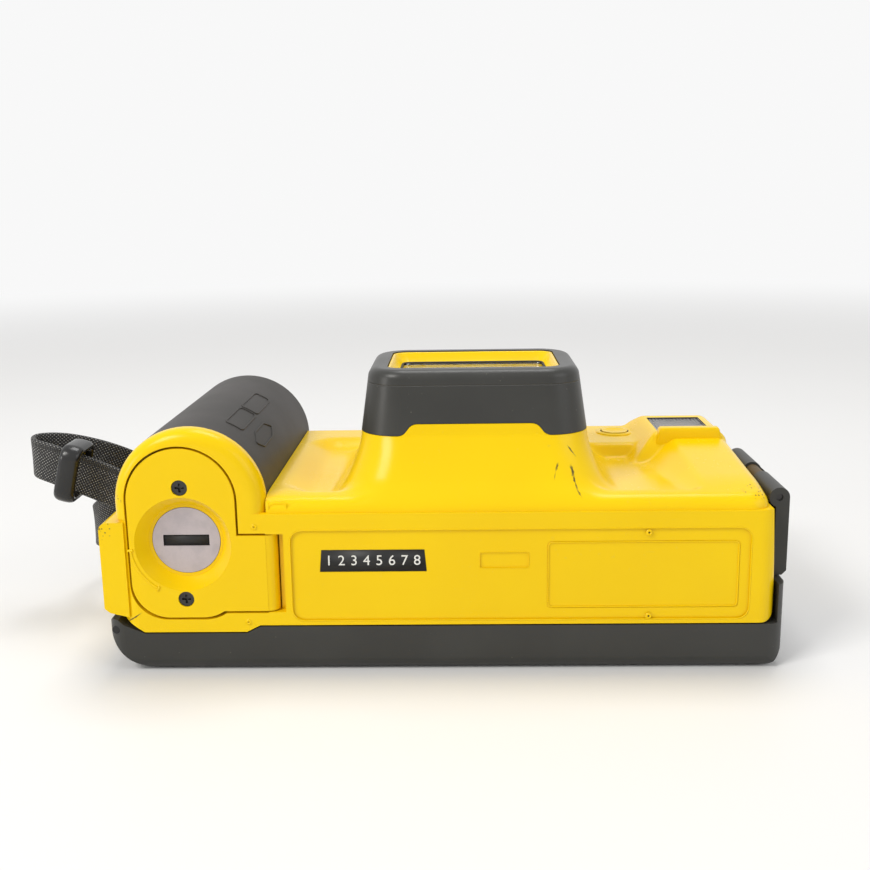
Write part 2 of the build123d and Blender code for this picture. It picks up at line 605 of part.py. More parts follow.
def front_panel():
    """Yellow front moulding: plate with two pockets, turret, flash housing and finder hump."""
    left = GRIP_RIGHT + SNUG
    right = HOUSING_RIGHT - HOUSING_DRAFT - LEDGE_STEP
    half = HOUSING_HALF - LEDGE_STEP
    plate = along_z(plan_outline(left, right, half, HOUSING_CORNER), LEDGE_Z, PANEL_TOP_Z)
    plate = fillet(plate.faces().sort_by(Axis.Z)[-1].edges(), PANEL_ROUND)
    floor_z = PANEL_TOP_Z - POCKET_DEPTH
    near = BASE + POCKET_NEAR
    left_x = left + LEFT_POCKET_START + LEFT_POCKET_WIDTH / 2
    right_x = FLASH_HOUSING_LEFT - 8.0
    left_far = TOP - POCKET_FAR
    right_far = TIMER_Y - TIMER_RADIUS - TIMER_BOSS - POCKET_BOSS_GAP
    for x, width, far in ((left_x, LEFT_POCKET_WIDTH, left_far), (right_x, RIGHT_POCKET_WIDTH, right_far)):
        pocket = Pos(x, (near + far) / 2, floor_z) * rounded(width / 2, (far - near) / 2, POCKET_CORNER)
        plate -= extrude(pocket, amount=POCKET_DEPTH + 1, taper=-POCKET_SLOPE)
    plateau_start = BASE + LEDGE_STEP + PANEL_ROUND + 0.7
    plateau_side = outline(
        (plateau_start, LEDGE_Z),
        (plateau_start, PANEL_TOP_Z - 0.3),
        (FLASH_NEAR_Y - 1.0, FLASH_TOP_Z - 1.1),
        (FLASH_NEAR_Y - 1.0, LEDGE_Z),
    )
    plateau_front = outline(
        (FLASH_HOUSING_LEFT - 2.5, LEDGE_Z),
        (FLASH_HOUSING_LEFT - 1.0, PANEL_TOP_Z - 2.0),
        (FLASH_HOUSING_LEFT + 5.5, FLASH_TOP_Z - 1.2),
        (FLASH_HOUSING_LEFT + 7.0, FLASH_TOP_Z + 1.0),
        (right - 2.6, FLASH_TOP_Z + 1.0),
        (right - 1.4, FLASH_TOP_Z - 1.6),
        (right - 0.7, LEDGE_Z),
    )
    plateau = along_x(plateau_side, FLASH_HOUSING_LEFT - 4, right)
    plateau &= along_y(plateau_front, BASE, TOP)
    housing_side = outline(
        (FLASH_NEAR_Y - 6.0, LEDGE_Z),
        (FLASH_NEAR_Y - 2.6, FLASH_TOP_Z - 0.8),
        (FLASH_NEAR_Y - 1.4, FLASH_TOP_Z),
        (FLASH_Y + FLASH_HEIGHT / 2 + 4.0, FLASH_TOP_Z),
        (half, FLASH_TOP_Z - 3.4),
        (half, LEDGE_Z),
    )
    housing_front = outline(
        (FLASH_HOUSING_LEFT - 4.0, LEDGE_Z),
        (FLASH_HOUSING_LEFT - 0.7, FLASH_TOP_Z - 1.2),
        (FLASH_HOUSING_LEFT + 0.7, FLASH_TOP_Z),
        (right - 2.8, FLASH_TOP_Z),
        (right - 1.4, FLASH_TOP_Z - 1.6),
        (right - 0.7, LEDGE_Z),
    )
    plateau += along_x(housing_side, FLASH_HOUSING_LEFT - 5, right) & along_y(housing_front, BASE, TOP)
    plateau &= along_z(plan_outline(left, right, half, HOUSING_CORNER), 0, 80)
    hump_front = outline(
        (LENS_X - HUMP_HALF - 3.0, LEDGE_Z),
        (LENS_X - HUMP_HALF, HUMP_TOP_Z - 2.0),
        (LENS_X - HUMP_HALF + 2.0, HUMP_TOP_Z),
        (LENS_X + HUMP_HALF - 2.0, HUMP_TOP_Z),
        (LENS_X + HUMP_HALF, HUMP_TOP_Z - 2.0),
        (LENS_X + HUMP_HALF + 3.0, LEDGE_Z),
    )
    hump = along_y(hump_front, FINDER_Y - FINDER_HEIGHT / 2 - 3.5, half)
    panel = plate + plateau + hump + turret()
    panel += rod_z(TIMER_X, TIMER_Y, TIMER_RADIUS + TIMER_BOSS, LEDGE_Z, PANEL_TOP_Z + 0.8)
    panel &= along_z(plan_outline(left, right, half, HOUSING_CORNER), 0, 80)
    # Lens tunnel up to the port
    tunnel = loft([
        turret_section(NECK_INNER_X + 2.5, NECK_INNER_Y + 5.5, 5.0, LEDGE_Z - 0.1),
        turret_section(NECK_INNER_X, NECK_INNER_Y, 3.0, TURRET_TOP_Z),
    ], ruled=True)
    panel -= tunnel
    opening = turret_section(PORT_HALF_X - FUNNEL_STEP, PORT_HALF_Y - FUNNEL_STEP, 2.0, 0)
    panel -= along_z(opening, TURRET_TOP_Z - 0.1, NECK_TOP_Z + 1)
    rebate = turret_section(NECK_INNER_X + 0.8, NECK_INNER_Y + 0.8, 2.5, 0)
    panel -= along_z(rebate, GLASS_FLOOR_Z - SEAL_THICKNESS, NECK_TOP_Z + 1)
    # Finder tunnel and window seat
    panel -= Pos(LENS_X, FINDER_Y) * block(
        -FINDER_WIDTH / 2 - SNUG, FINDER_WIDTH / 2 + SNUG, -FINDER_HEIGHT / 2 - SNUG,
        FINDER_HEIGHT / 2 + SNUG, LEDGE_Z - 1, HUMP_TOP_Z + 1,
    )
    panel -= Pos(LENS_X, FINDER_Y) * block(
        -FINDER_WIDTH / 2 - 1.2, FINDER_WIDTH / 2 + 1.2, -FINDER_HEIGHT / 2 - 1.2,
        FINDER_HEIGHT / 2 + 1.2, HUMP_TOP_Z - WINDOW_THICKNESS, HUMP_TOP_Z + 1,
    )
    for x in autofocus_places():
        panel -= rod_z(x, FINDER_Y, 2.0, HUMP_TOP_Z - WINDOW_THICKNESS, HUMP_TOP_Z + 1)
        panel -= rod_z(x, FINDER_Y, 1.4, HUMP_TOP_Z - 6, HUMP_TOP_Z)
    # Flash well, window seat and the low bar before it
    panel -= flash_box(0.8, LEDGE_Z - 1, FLASH_TOP_Z)
    panel -= flash_box(0, FLASH_TOP_Z - WINDOW_THICKNESS, FLASH_TOP_Z + 1)
    panel += flash_lip()
    # Self-timer button's bore, with a stop for its flange
    panel -= rod_z(TIMER_X, TIMER_Y, TIMER_RADIUS + FIT, LEDGE_Z - 1, PANEL_TOP_Z + 2)
    return panel


def autofocus_places():
    """X of the two autofocus windows, beside the finder."""
    return (FINDER_LEFT - 4.2, FINDER_RIGHT + 4.2)


def flash_lip():
    """Low bar with leaning ends, across the near edge of the flash window."""
    side = outline(
        (FLASH_NEAR_Y - 4.2, FLASH_TOP_Z - 2.0),
        (FLASH_NEAR_Y - 2.9, FLASH_LIP_Z),
        (FLASH_NEAR_Y - 0.4, FLASH_LIP_Z),
        (FLASH_NEAR_Y - 0.4, FLASH_TOP_Z - 2.0),
    )
    half = FLASH_WIDTH / 2
    front = outline(
        (FLASH_X - half - 1.4, FLASH_TOP_Z - 2.0),
        (FLASH_X - half - 0.1, FLASH_LIP_Z),
        (FLASH_X + half + 0.6, FLASH_LIP_Z),
        (FLASH_X + half + 1.9, FLASH_TOP_Z - 2.0),
    )
    return along_x(side, FLASH_X - half - 2, FLASH_X + half + 2) & along_y(front, BASE, TOP)


def flash_box(inset, z_low, z_high):
    """The flash opening, grown or shrunk by inset."""
    half_x = FLASH_WIDTH / 2 - inset
    half_y = FLASH_HEIGHT / 2 - inset
    return block(FLASH_X - half_x, FLASH_X + half_x, FLASH_Y - half_y, FLASH_Y + half_y, z_low, z_high)


def lens_hood():
    """Dark hood that slips over the neck and shades the port."""
    hood = hood_body() - along_y(hood_notch(0), BASE, TOP)
    bore = turret_section(NECK_HALF_X + SNUG, NECK_HALF_Y + SNUG, 4.0, 0)
    hood -= along_z(bore, TURRET_TOP_Z - 1, NECK_TOP_Z + 2.0)
    mouth = turret_section(PORT_HALF_X + SNUG, PORT_HALF_Y + SNUG, 3.4, 0)
    return hood - along_z(mouth, NECK_TOP_Z + 1.0, HOOD_TOP_Z + 1)


def lens_bezel():
    """Yellow frame that clamps the port glass, sloping in to it like a funnel."""
    flange = turret_section(NECK_HALF_X - 0.2, NECK_HALF_Y - 0.2, 3.6, 0)
    rim = turret_section(PORT_HALF_X, PORT_HALF_Y, 3.3, 0)
    frame = along_z(flange, NECK_TOP_Z + SNUG, NECK_TOP_Z + 1.8)
    frame += along_z(rim, NECK_TOP_Z + 1.7, HOOD_TOP_Z - 0.2)
    funnel = loft([
        turret_section(PORT_HALF_X - FUNNEL_STEP, PORT_HALF_Y - FUNNEL_STEP, 1.6, NECK_TOP_Z),
        turret_section(PORT_HALF_X - 0.6, PORT_HALF_Y - 0.6, 2.8, HOOD_TOP_Z + 0.2),
    ], ruled=True)
    return frame - funnel


def port_glass():
    """Flat window in front of the lens."""
    pane = turret_section(NECK_INNER_X + 0.8 - SNUG, NECK_INNER_Y + 0.8 - SNUG, 2.4, 0)
    return along_z(pane, GLASS_FLOOR_Z, NECK_TOP_Z)


def port_seal():
    """Rubber ring under the port glass."""
    outer = turret_section(NECK_INNER_X + 0.8 - SNUG, NECK_INNER_Y + 0.8 - SNUG, 2.4, 0)
    inner = turret_section(PORT_HALF_X - FUNNEL_STEP + 0.3, PORT_HALF_Y - FUNNEL_STEP + 0.3, 2.0, 0)
    return along_z(outer - inner, GLASS_FLOOR_Z - SEAL_THICKNESS, GLASS_FLOOR_Z)


# Film chassis


def gear_pair_distance(teeth_a, teeth_b):
    """Distance between the shafts of two gears in mesh, with backlash."""
    return GEAR_MODULE * (teeth_a + teeth_b) / 2 + FIT


def between(low, high, to_low, to_high):
    """The point over the line from low to high at the given distances from its two ends."""
    dx = high[0] - low[0]
    dz = high[1] - low[1]
    span = hypot(dx, dz)
    along = (to_low ** 2 - to_high ** 2 + span ** 2) / (2 * span)
    aside = (to_low ** 2 - along ** 2) ** 0.5
    return (low[0] + (along * dx - aside * dz) / span, low[1] + (along * dz + aside * dx) / span)


def train_places():
    """X and Z of the five gear shafts, from the spool to the rewind fork."""
    spool = (SPOOL_X, SPOOL_Z)
    fork = (CASSETTE_X, CASSETTE_Z)
    middle = ((SPOOL_X + CASSETTE_X) / 2, TRAIN_Z)
    to_end = gear_pair_distance(END_TEETH, TRAIN_TEETH)
    to_middle = gear_pair_distance(TRAIN_TEETH, TRAIN_TEETH)
    left = between(spool, middle, to_end, to_middle)
    right = between(middle, fork, to_middle, to_end)
    return (spool, left, middle, right, fork)


TRAIN_COUNTS = (END_TEETH, TRAIN_TEETH, TRAIN_TEETH, TRAIN_TEETH, END_TEETH)


def rail(y_middle, width):
    """One film rail along the gate."""
    return block(
        LENS_X - GATE_WIDTH / 2 - 1.5, LENS_X + GATE_WIDTH / 2 + 5.5,
        y_middle - width / 2, y_middle + width / 2, FILM_Z + 0.3, CHASSIS_BACK_Z + 1,
    )


def bay(x, z, radius, y_low, y_high):
    """A round bay along Y that is open to the back."""
    return rod_y(x, z, radius, y_low, y_high) + block(x - radius, x + radius, y_low, y_high, 0, z)


def chassis():
    """Black film chassis with the cassette bay, the gate, the spool bay and the mechanism's rooms."""
    frame = block(
        CHAMBER_LEFT + SNUG, CHAMBER_RIGHT - SNUG, -CHASSIS_HALF + SNUG, CHASSIS_HALF - SNUG,
        CHASSIS_BACK_Z, CHASSIS_TOP_Z,
    )
    frame -= door_post(SNUG)
    for offset in (GATE_HEIGHT / 2 + 1.2, FILM_WIDTH / 2 + 0.9):
        frame += rail(LENS_Y - offset, 1.0)
        frame += rail(LENS_Y + offset, 1.0)
    frame -= bay(CASSETTE_X, CASSETTE_Z, CASSETTE_BAY_RADIUS, CASSETTE_NEAR_Y, CASSETTE_FAR_Y)
    frame -= bay(SPOOL_X, SPOOL_Z, SPOOL_BAY_RADIUS, SPOOL_BAY_NEAR_Y, SPOOL_BAY_FAR_Y)
    wheel_room = SPROCKET_RADIUS + SPROCKET_TOOTH + FIT
    frame -= bay(SPROCKET_X, SPROCKET_Z, wheel_room, FILM_NEAR_Y - 1.0, FILM_FAR_Y + 1.0)
    # Gate, and the light tunnel that narrows to the barrel's bore
    frame -= loft([
        turret_section(GATE_WIDTH / 2 - 8.0, GATE_HEIGHT / 2 - 3.0, 2.0, BARREL_BACK_Z - 2.0),
        turret_section(GATE_WIDTH / 2, GATE_HEIGHT / 2, 0.5, CHASSIS_BACK_Z - 3),
    ], ruled=True)
    frame -= rod_z(LENS_X, LENS_Y, BARREL_RADIUS + FIT, BARREL_BACK_Z - 2.0, CHASSIS_TOP_Z + 1)
    for x, y in rod_places():
        frame -= rod_z(x, y, ROD_RADIUS, BARREL_BACK_Z, CHASSIS_TOP_Z + 1)
    # Slot for the gear train, open to the front, with a stud for each middle gear
    places = train_places()
    reach = GEAR_MODULE * (END_TEETH / 2 + 1) + FIT
    floor_z = TRAIN_Z - GEAR_MODULE * (TRAIN_TEETH / 2 + 1) - FIT
    frame -= block(SPOOL_X - reach, CASSETTE_X + reach, GEAR_SLOT_Y, GEAR_SLOT_END_Y, floor_z, 60)
    for x, z in places[1:4]:
        frame += rod_y(x, z, GEAR_SHAFT_RADIUS, GEAR_SLOT_Y - 0.5, GEAR_SLOT_END_Y - FIT)
    frame -= rod_y(SPOOL_X, SPOOL_Z, SHAFT_RADIUS + SHAFT_FIT, SPOOL_BAY_FAR_Y - 1, GEAR_SLOT_Y + 1)
    frame -= rod_y(CASSETTE_X, CASSETTE_Z, SHAFT_RADIUS + SHAFT_FIT, CASSETTE_FAR_Y - 1, GEAR_SLOT_Y + 1)
    frame -= rod_y(
        SPROCKET_X, SPROCKET_Z, GEAR_SHAFT_RADIUS + SHAFT_FIT, FILM_NEAR_Y - 3.2, FILM_FAR_Y + 3.2,
    )
    # Rooms either side of the finder, open to the front
    frame -= block(SPOOL_X - reach, FINDER_LEFT - 2.5, ROOM_Y, ROOM_END_Y, floor_z, 60)
    frame -= block(FINDER_RIGHT + 2.5, FINDER_RIGHT + 4.5 + CAPACITOR_LENGTH, ROOM_Y, ROOM_END_Y, floor_z, 60)
    # Finder tunnel
    tunnel = Pos(LENS_X, FINDER_Y) * Rectangle(FINDER_WIDTH + 2 * SNUG, FINDER_HEIGHT + 2 * SNUG)
    frame -= along_z(tunnel, 0, 60)
    for x, y in screw_places():
        frame -= rod_z(x, y, 1.0, CHASSIS_BACK_Z - 1, CHASSIS_BACK_Z + 8)
        frame -= rod_z(x, y, 1.8, CHASSIS_BACK_Z - 1, CHASSIS_BACK_Z + 1.4)
    # Recesses behind the counter and the zoom button
    frame -= rod_y(COUNTER_X, COUNTER_Z, COUNTER_RADIUS, TOP - 3.6, TOP)
    frame -= rod_y(COUNTER_X, COUNTER_Z, GEAR_SHAFT_RADIUS + SHAFT_FIT, TOP - 6.0, TOP)
    frame -= rod_y(ZOOM_X, ZOOM_Z, ZOOM_RADIUS + 1.1, ROOM_END_Y - 2, TOP)
    return frame


def rod_places():
    """X and Y of the two guide rods, either side of the barrel."""
    reach = BARREL_RADIUS + 2.6
    return ((LENS_X - reach, LENS_Y), (LENS_X + reach, LENS_Y))


def screw_places():
    """X and Y of the chassis screws, two beside the gate and two in the far corners."""
    edge = CHASSIS_HALF - 2.2
    return (
        (LENS_X - GATE_WIDTH / 2, -edge),
        (LENS_X + GATE_WIDTH / 2 - 2, -edge),
        (CHAMBER_LEFT + 3.0, edge),
        (CHAMBER_RIGHT - 3.0, edge),
    )


def chassis_screws():
    """Four short cross-head screws that hold the chassis."""
    screws = []
    for x, y in screw_places():
        head = rod_z(x, y, 1.7, CHASSIS_BACK_Z + 0.2, CHASSIS_BACK_Z + 1.4)
        shank = rod_z(x, y, 1.0, CHASSIS_BACK_Z + 1.3, CHASSIS_BACK_Z + 7)
        screws.append(head + shank)
    return Compound(children=screws)


def guide_rods():
    """Two steel rods that the lens barrel slides on."""
    rods = [rod_z(x, y, ROD_RADIUS, BARREL_BACK_Z, TURRET_TOP_Z + 2) for x, y in rod_places()]
    return Compound(children=rods)


# Film transport


def gear_drawing(teeth, turn):
    """X-Z drawing of a gear with flat-topped teeth, turned by an angle in degrees."""
    pitch = GEAR_MODULE * teeth / 2
    root = pitch - 1.1 * GEAR_MODULE
    tip = pitch + 0.8 * GEAR_MODULE
    inner = root - 0.2
    step = 360 / teeth
    low = radians(step * 0.25)
    high = radians(step * 0.10)
    tooth = outline(
        (inner * cos(low), -inner * sin(low)),
        (root * cos(low), -root * sin(low)),
        (tip * cos(high), -tip * sin(high)),
        (tip * cos(high), tip * sin(high)),
        (root * cos(low), root * sin(low)),
        (inner * cos(low), inner * sin(low)),
    )
    return Circle(root) + [Rot(0, 0, index * step + turn) * tooth for index in range(teeth)]


def train_turns():
    """Turn of each gear that puts its gap opposite a tooth of the gear before it."""
    places = train_places()
    turns = [0.0]
    for index in range(1, len(places)):
        before = places[index - 1]
        here = places[index]
        heading = degrees(atan2(here[1] - before[1], here[0] - before[0]))
        step_before = 360 / TRAIN_COUNTS[index - 1]
        step_here = 360 / TRAIN_COUNTS[index]
        phase = ((heading - turns[-1]) / step_before) % 1
        turns.append(heading + 180 + (phase + 0.5) * step_here)
    return turns


def train_gear(index):
    """One gear of the train, in its place."""
    x, z = train_places()[index]
    drawing = gear_drawing(TRAIN_COUNTS[index], train_turns()[index])
    return along_y(Pos(x, z) * drawing, GEAR_Y, GEAR_Y + GEAR_WIDTH)


def transport_gears():
    """The three middle gears, bored for their studs, with lightening holes."""
    gears = []
    for index in (1, 2, 3):
        x, z = train_places()[index]
        gear = train_gear(index)
        gear -= rod_y(x, z, GEAR_SHAFT_RADIUS + SHAFT_FIT, GEAR_Y - 1, GEAR_SLOT_END_Y)
        for hole in range(5):
            angle = radians(72 * hole)
            gear -= rod_y(x + 5.5 * cos(angle), z + 5.5 * sin(angle), 1.7, GEAR_Y - 1, GEAR_SLOT_END_Y)
        gears.append(gear)
    return gears


def take_up_spool():
    """Spool that winds the film, hollow for the motor, with its gear beyond the bay's roof."""
    near = FILM_NEAR_Y - 0.7
    drum = rod_y(SPOOL_X, SPOOL_Z, SPOOL_RADIUS, near, SPOOL_BAY_FAR_Y - FIT)
    drum -= rod_y(SPOOL_X, SPOOL_Z, MOTOR_RADIUS + 0.8, near - 1, SPOOL_BAY_FAR_Y - 2.0)
    for height in (FILM_NEAR_Y + 4, FILM_FAR_Y - 5):
        groove = rod_y(SPOOL_X, SPOOL_Z, SPOOL_RADIUS + 1, height, height + 1.2)
        drum -= groove - rod_y(SPOOL_X, SPOOL_Z, SPOOL_RADIUS - 0.6, height - 1, height + 2)
    claw_face = outline((-0.6, 0), (0.6, 0), (0.3, 1.1), (-0.3, 1.1))
    for index in range(3):
        claw = along_y(Pos(0, SPOOL_RADIUS - 0.2) * claw_face, FILM_NEAR_Y + 1.2, FILM_NEAR_Y + 3.2)
        drum += Pos(SPOOL_X, 0, SPOOL_Z) * (Rot(0, 120 * index + 60, 0) * claw)
    collar = rod_y(SPOOL_X, SPOOL_Z, SHAFT_RADIUS, SPOOL_BAY_FAR_Y - 2.5, GEAR_Y + 0.5)
    return drum + collar + train_gear(0)


def film_motor():
    """Motor inside the spool, standing on the bay's near end."""
    foot_end = SPOOL_BAY_NEAR_Y + 1.6
    can = rod_y(SPOOL_X, SPOOL_Z, MOTOR_RADIUS, foot_end - 0.1, SPOOL_BAY_FAR_Y - 7)
    foot = rod_y(SPOOL_X, SPOOL_Z, SPOOL_BAY_RADIUS - 0.6, SPOOL_BAY_NEAR_Y + SNUG, foot_end)
    nose = rod_y(SPOOL_X, SPOOL_Z, 2.2, SPOOL_BAY_FAR_Y - 7.1, SPOOL_BAY_FAR_Y - 4)
    return can + foot + nose


def sprocket():
    """Shaft with two rings of film teeth, turned by the film."""
    shaft = rod_y(SPROCKET_X, SPROCKET_Z, GEAR_SHAFT_RADIUS, FILM_NEAR_Y - 3.0, FILM_FAR_Y + 3.0)
    body = rod_y(SPROCKET_X, SPROCKET_Z, SPROCKET_RADIUS - 0.6, FILM_NEAR_Y - 0.4, FILM_FAR_Y + 0.4)
    tooth_face = outline((-0.5, -0.4), (0.5, -0.4), (0.25, SPROCKET_TOOTH), (-0.25, SPROCKET_TOOTH))
    for middle in (FILM_NEAR_Y + 2.0, FILM_FAR_Y - 2.0):
        body += rod_y(SPROCKET_X, SPROCKET_Z, SPROCKET_RADIUS, middle - 1.4, middle + 1.4)
        for index in range(8):
            tooth = along_y(Pos(0, SPROCKET_RADIUS) * tooth_face, middle - 0.7, middle + 0.7)
            body += Pos(SPROCKET_X, 0, SPROCKET_Z) * (Rot(0, 45 * index, 0) * tooth)
    return shaft + body


def rewind_fork():
    """Two-pronged fork that turns the cassette's core, with its gear."""
    shaft = rod_y(CASSETTE_X, CASSETTE_Z, SHAFT_RADIUS, CASSETTE_FAR_Y - 1.6, GEAR_Y + 0.5)
    disc = rod_y(CASSETTE_X, CASSETTE_Z, 4.5, CASSETTE_FAR_Y - 1.6, CASSETTE_FAR_Y - FIT)
    prongs = Pos(CASSETTE_X, 0, CASSETTE_Z) * block(
        -1.8, 1.8, CASSETTE_FAR_Y - 5.0, CASSETTE_FAR_Y - 1.5, -0.6, 0.6,
    )
    return shaft + disc + prongs + train_gear(4)


# Lens


def lens_barrel():
    """Sliding tube with two eyes on the guide rods."""
    front = BARREL_BACK_Z + BARREL_LENGTH
    tube = rod_z(LENS_X, LENS_Y, BARREL_RADIUS, BARREL_BACK_Z, front)
    eye_low = CHASSIS_TOP_Z + ROD_EYE_LIFT
    eye_high = eye_low + ROD_EYE_LENGTH
    shutter_low = BARREL_BACK_Z + SHUTTER_START
    for x, y in rod_places():
        middle = (LENS_X + x) / 2
        reach = abs(x - LENS_X)
        eye = Pos(middle, y, 0) * block(-reach / 2, reach / 2, -ROD_EYE_RADIUS, ROD_EYE_RADIUS, eye_low, eye_high)
        eye += rod_z(x, y, ROD_EYE_RADIUS, eye_low, eye_high)
        tube += eye
    tube -= rod_z(LENS_X, LENS_Y, FRONT_LENS_RADIUS + SNUG, front - 2 * LENS_INSET + 0.4, front + 1)
    tube -= rod_z(LENS_X, LENS_Y, REAR_LENS_RADIUS + SNUG, BARREL_BACK_Z - 1, front)
    tube -= rod_z(
        LENS_X, LENS_Y, BARREL_RADIUS - BARREL_WALL, shutter_low - SNUG, shutter_low + SHUTTER_UNIT_HEIGHT + SNUG,
    )
    ring = rod_z(LENS_X, LENS_Y, BARREL_RADIUS - 0.9, front - 0.6, front + 1)
    tube -= ring - rod_z(LENS_X, LENS_Y, BARREL_RADIUS - 1.5, front - 1, front + 2)
    for x, y in rod_places():
        tube -= rod_z(x, y, ROD_RADIUS + SHAFT_FIT, 0, 80)
    return tube


def lens_group(radius, z_middle, thickness, bulge):
    """A lens with two bulging faces."""
    sphere_radius = (radius ** 2 + bulge ** 2) / (2 * bulge)
    disc = rod_z(LENS_X, LENS_Y, radius, z_middle - thickness / 2 - bulge, z_middle + thickness / 2 + bulge)
    drop = sphere_radius - thickness / 2 - bulge
    disc &= Pos(LENS_X, LENS_Y, z_middle - drop) * Sphere(sphere_radius)
    disc &= Pos(LENS_X, LENS_Y, z_middle + drop) * Sphere(sphere_radius)
    return disc


def front_lens():
    """Front group, set just inside the barrel's rim."""
    return lens_group(FRONT_LENS_RADIUS, BARREL_BACK_Z + BARREL_LENGTH - LENS_INSET, 2.0, 1.0)


def rear_lens():
    """Rear group."""
    return lens_group(REAR_LENS_RADIUS, BARREL_BACK_Z + LENS_INSET, 1.8, 0.8)


def shutter_unit():
    """Ring with the two-bladed leaf shutter, between the groups."""
    low = BARREL_BACK_Z + SHUTTER_START
    high = low + SHUTTER_UNIT_HEIGHT
    middle = (low + high) / 2
    ring = rod_z(LENS_X, LENS_Y, BARREL_RADIUS - BARREL_WALL - SNUG, low, high)
    ring -= rod_z(LENS_X, LENS_Y, REAR_LENS_RADIUS - 1.0, low - 1, middle - 0.2)
    return ring - rod_z(LENS_X, LENS_Y, REAR_LENS_RADIUS - 1.0, middle + 0.2, high + 1)


# Viewfinder, flash and electronics


def viewfinder_tube():
    """Black tube from the eyepiece, through the chassis, to the front window."""
    outer = Pos(LENS_X, FINDER_Y) * Rectangle(FINDER_WIDTH, FINDER_HEIGHT)
    inner = Pos(LENS_X, FINDER_Y) * Rectangle(FINDER_WIDTH - 2 * FINDER_WALL, FINDER_HEIGHT - 2 * FINDER_WALL)
    top = HUMP_TOP_Z - WINDOW_THICKNESS
    tube = along_z(outer, FINDER_BACK_Z, top) - along_z(inner, FINDER_BACK_Z - 1, top + 1)
    grow = 0.5
    seat = Pos(LENS_X, FINDER_Y) * Rectangle(
        FINDER_WIDTH - 2 * FINDER_WALL + 2 * grow, FINDER_HEIGHT - 2 * FINDER_WALL + 2 * grow)
    return tube - along_z(seat, FINDER_BACK_Z - 1, FINDER_BACK_Z + 2.4)


def viewfinder_eyepiece():
    """Clear eyepiece at the back."""
    pane = Rectangle(FINDER_WIDTH - 2 * FINDER_WALL + 0.8, FINDER_HEIGHT - 2 * FINDER_WALL + 0.8)
    return along_z(Pos(LENS_X, FINDER_Y) * pane, FINDER_BACK_Z + 0.4, FINDER_BACK_Z + 2.4)


def viewfinder_objective():
    """Inner finder lens."""
    pane = Rectangle(FINDER_WIDTH - 2 * FINDER_WALL - 0.1, FINDER_HEIGHT - 2 * FINDER_WALL - 0.1)
    return along_z(Pos(LENS_X, FINDER_Y) * pane, CHASSIS_TOP_Z - 3, CHASSIS_TOP_Z - 0.5)


def viewfinder_window():
    """Clear window in the hump."""
    pane = Rectangle(FINDER_WIDTH + 2.2, FINDER_HEIGHT + 2.2)
    low = HUMP_TOP_Z - WINDOW_THICKNESS
    return along_z(Pos(LENS_X, FINDER_Y) * pane, low, low + 1.4)


def autofocus_windows():
    """Two small round windows beside the finder."""
    low = HUMP_TOP_Z - WINDOW_THICKNESS
    panes = [rod_z(x, FINDER_Y, 1.9, low, low + 1.4) for x in autofocus_places()]
    return Compound(children=panes)


def flash_window():
    """Clear diffuser over the flash."""
    return flash_box(0.1, FLASH_TOP_Z - WINDOW_THICKNESS, FLASH_TOP_Z - 0.2)


def reflector_section(inset):
    """Y-Z section of the reflector trough."""
    half = FLASH_HEIGHT / 2 - 0.9 - inset
    top = FLASH_TOP_Z - WINDOW_THICKNESS - SNUG
    bottom = top - REFLECTOR_DEPTH + inset
    return outline(
        (FLASH_Y - half, top + (0.5 if inset else 0)),
        (FLASH_Y - half * 0.72, (top + bottom) / 2),
        (FLASH_Y - half * 0.36, bottom),
        (FLASH_Y + half * 0.36, bottom),
        (FLASH_Y + half * 0.72, (top + bottom) / 2),
        (FLASH_Y + half, top + (0.5 if inset else 0)),
    )


def flash_reflector():
    """Bright trough behind the flash tube, open at both ends for the tube."""
    half = FLASH_WIDTH / 2 - 0.9
    trough = along_x(reflector_section(0), FLASH_X - half, FLASH_X + half)
    trough -= along_x(reflector_section(0.5), FLASH_X - half - 1, FLASH_X + half + 1)
    return trough


def flash_tube():
    """Glass flash tube lying in the reflector."""
    z = FLASH_TOP_Z - WINDOW_THICKNESS - SNUG - REFLECTOR_DEPTH + 0.5 + 1.25
    return rod_x(FLASH_Y, z, 1.2, FLASH_X - FLASH_WIDTH / 2 + 1.2, FLASH_X + FLASH_WIDTH / 2 - 1.2)


def flash_capacitor():
    """Photoflash capacitor in the room beside the finder."""
    z = TRAIN_Z - GEAR_MODULE * (TRAIN_TEETH / 2 + 1) + CAPACITOR_RADIUS
    low = FINDER_RIGHT + 3.5
    y = ROOM_Y + ROOM_NEAR_GAP + CAPACITOR_RADIUS
    can = rod_x(y, z, CAPACITOR_RADIUS, low, low + CAPACITOR_LENGTH)
    can = fillet(can.edges().filter_by(GeomType.CIRCLE), 0.7)
    return can


def circuit_board():
    """Green board over the gear room, screwed to the chassis."""
    left = SPOOL_X - GEAR_MODULE * (END_TEETH / 2 + 1)
    right = FINDER_LEFT - 2.8
    low = ROOM_Y + FIT
    high = ROOM_END_Y - FIT
    board = block(left, right, low, high, CHASSIS_TOP_Z - 4.0, CHASSIS_TOP_Z - 2.8)
    chip = block(left + 6, left + 14, low + 1.8, high - 1.8, CHASSIS_TOP_Z - 2.9, CHASSIS_TOP_Z - 1.2)
    return board + chip


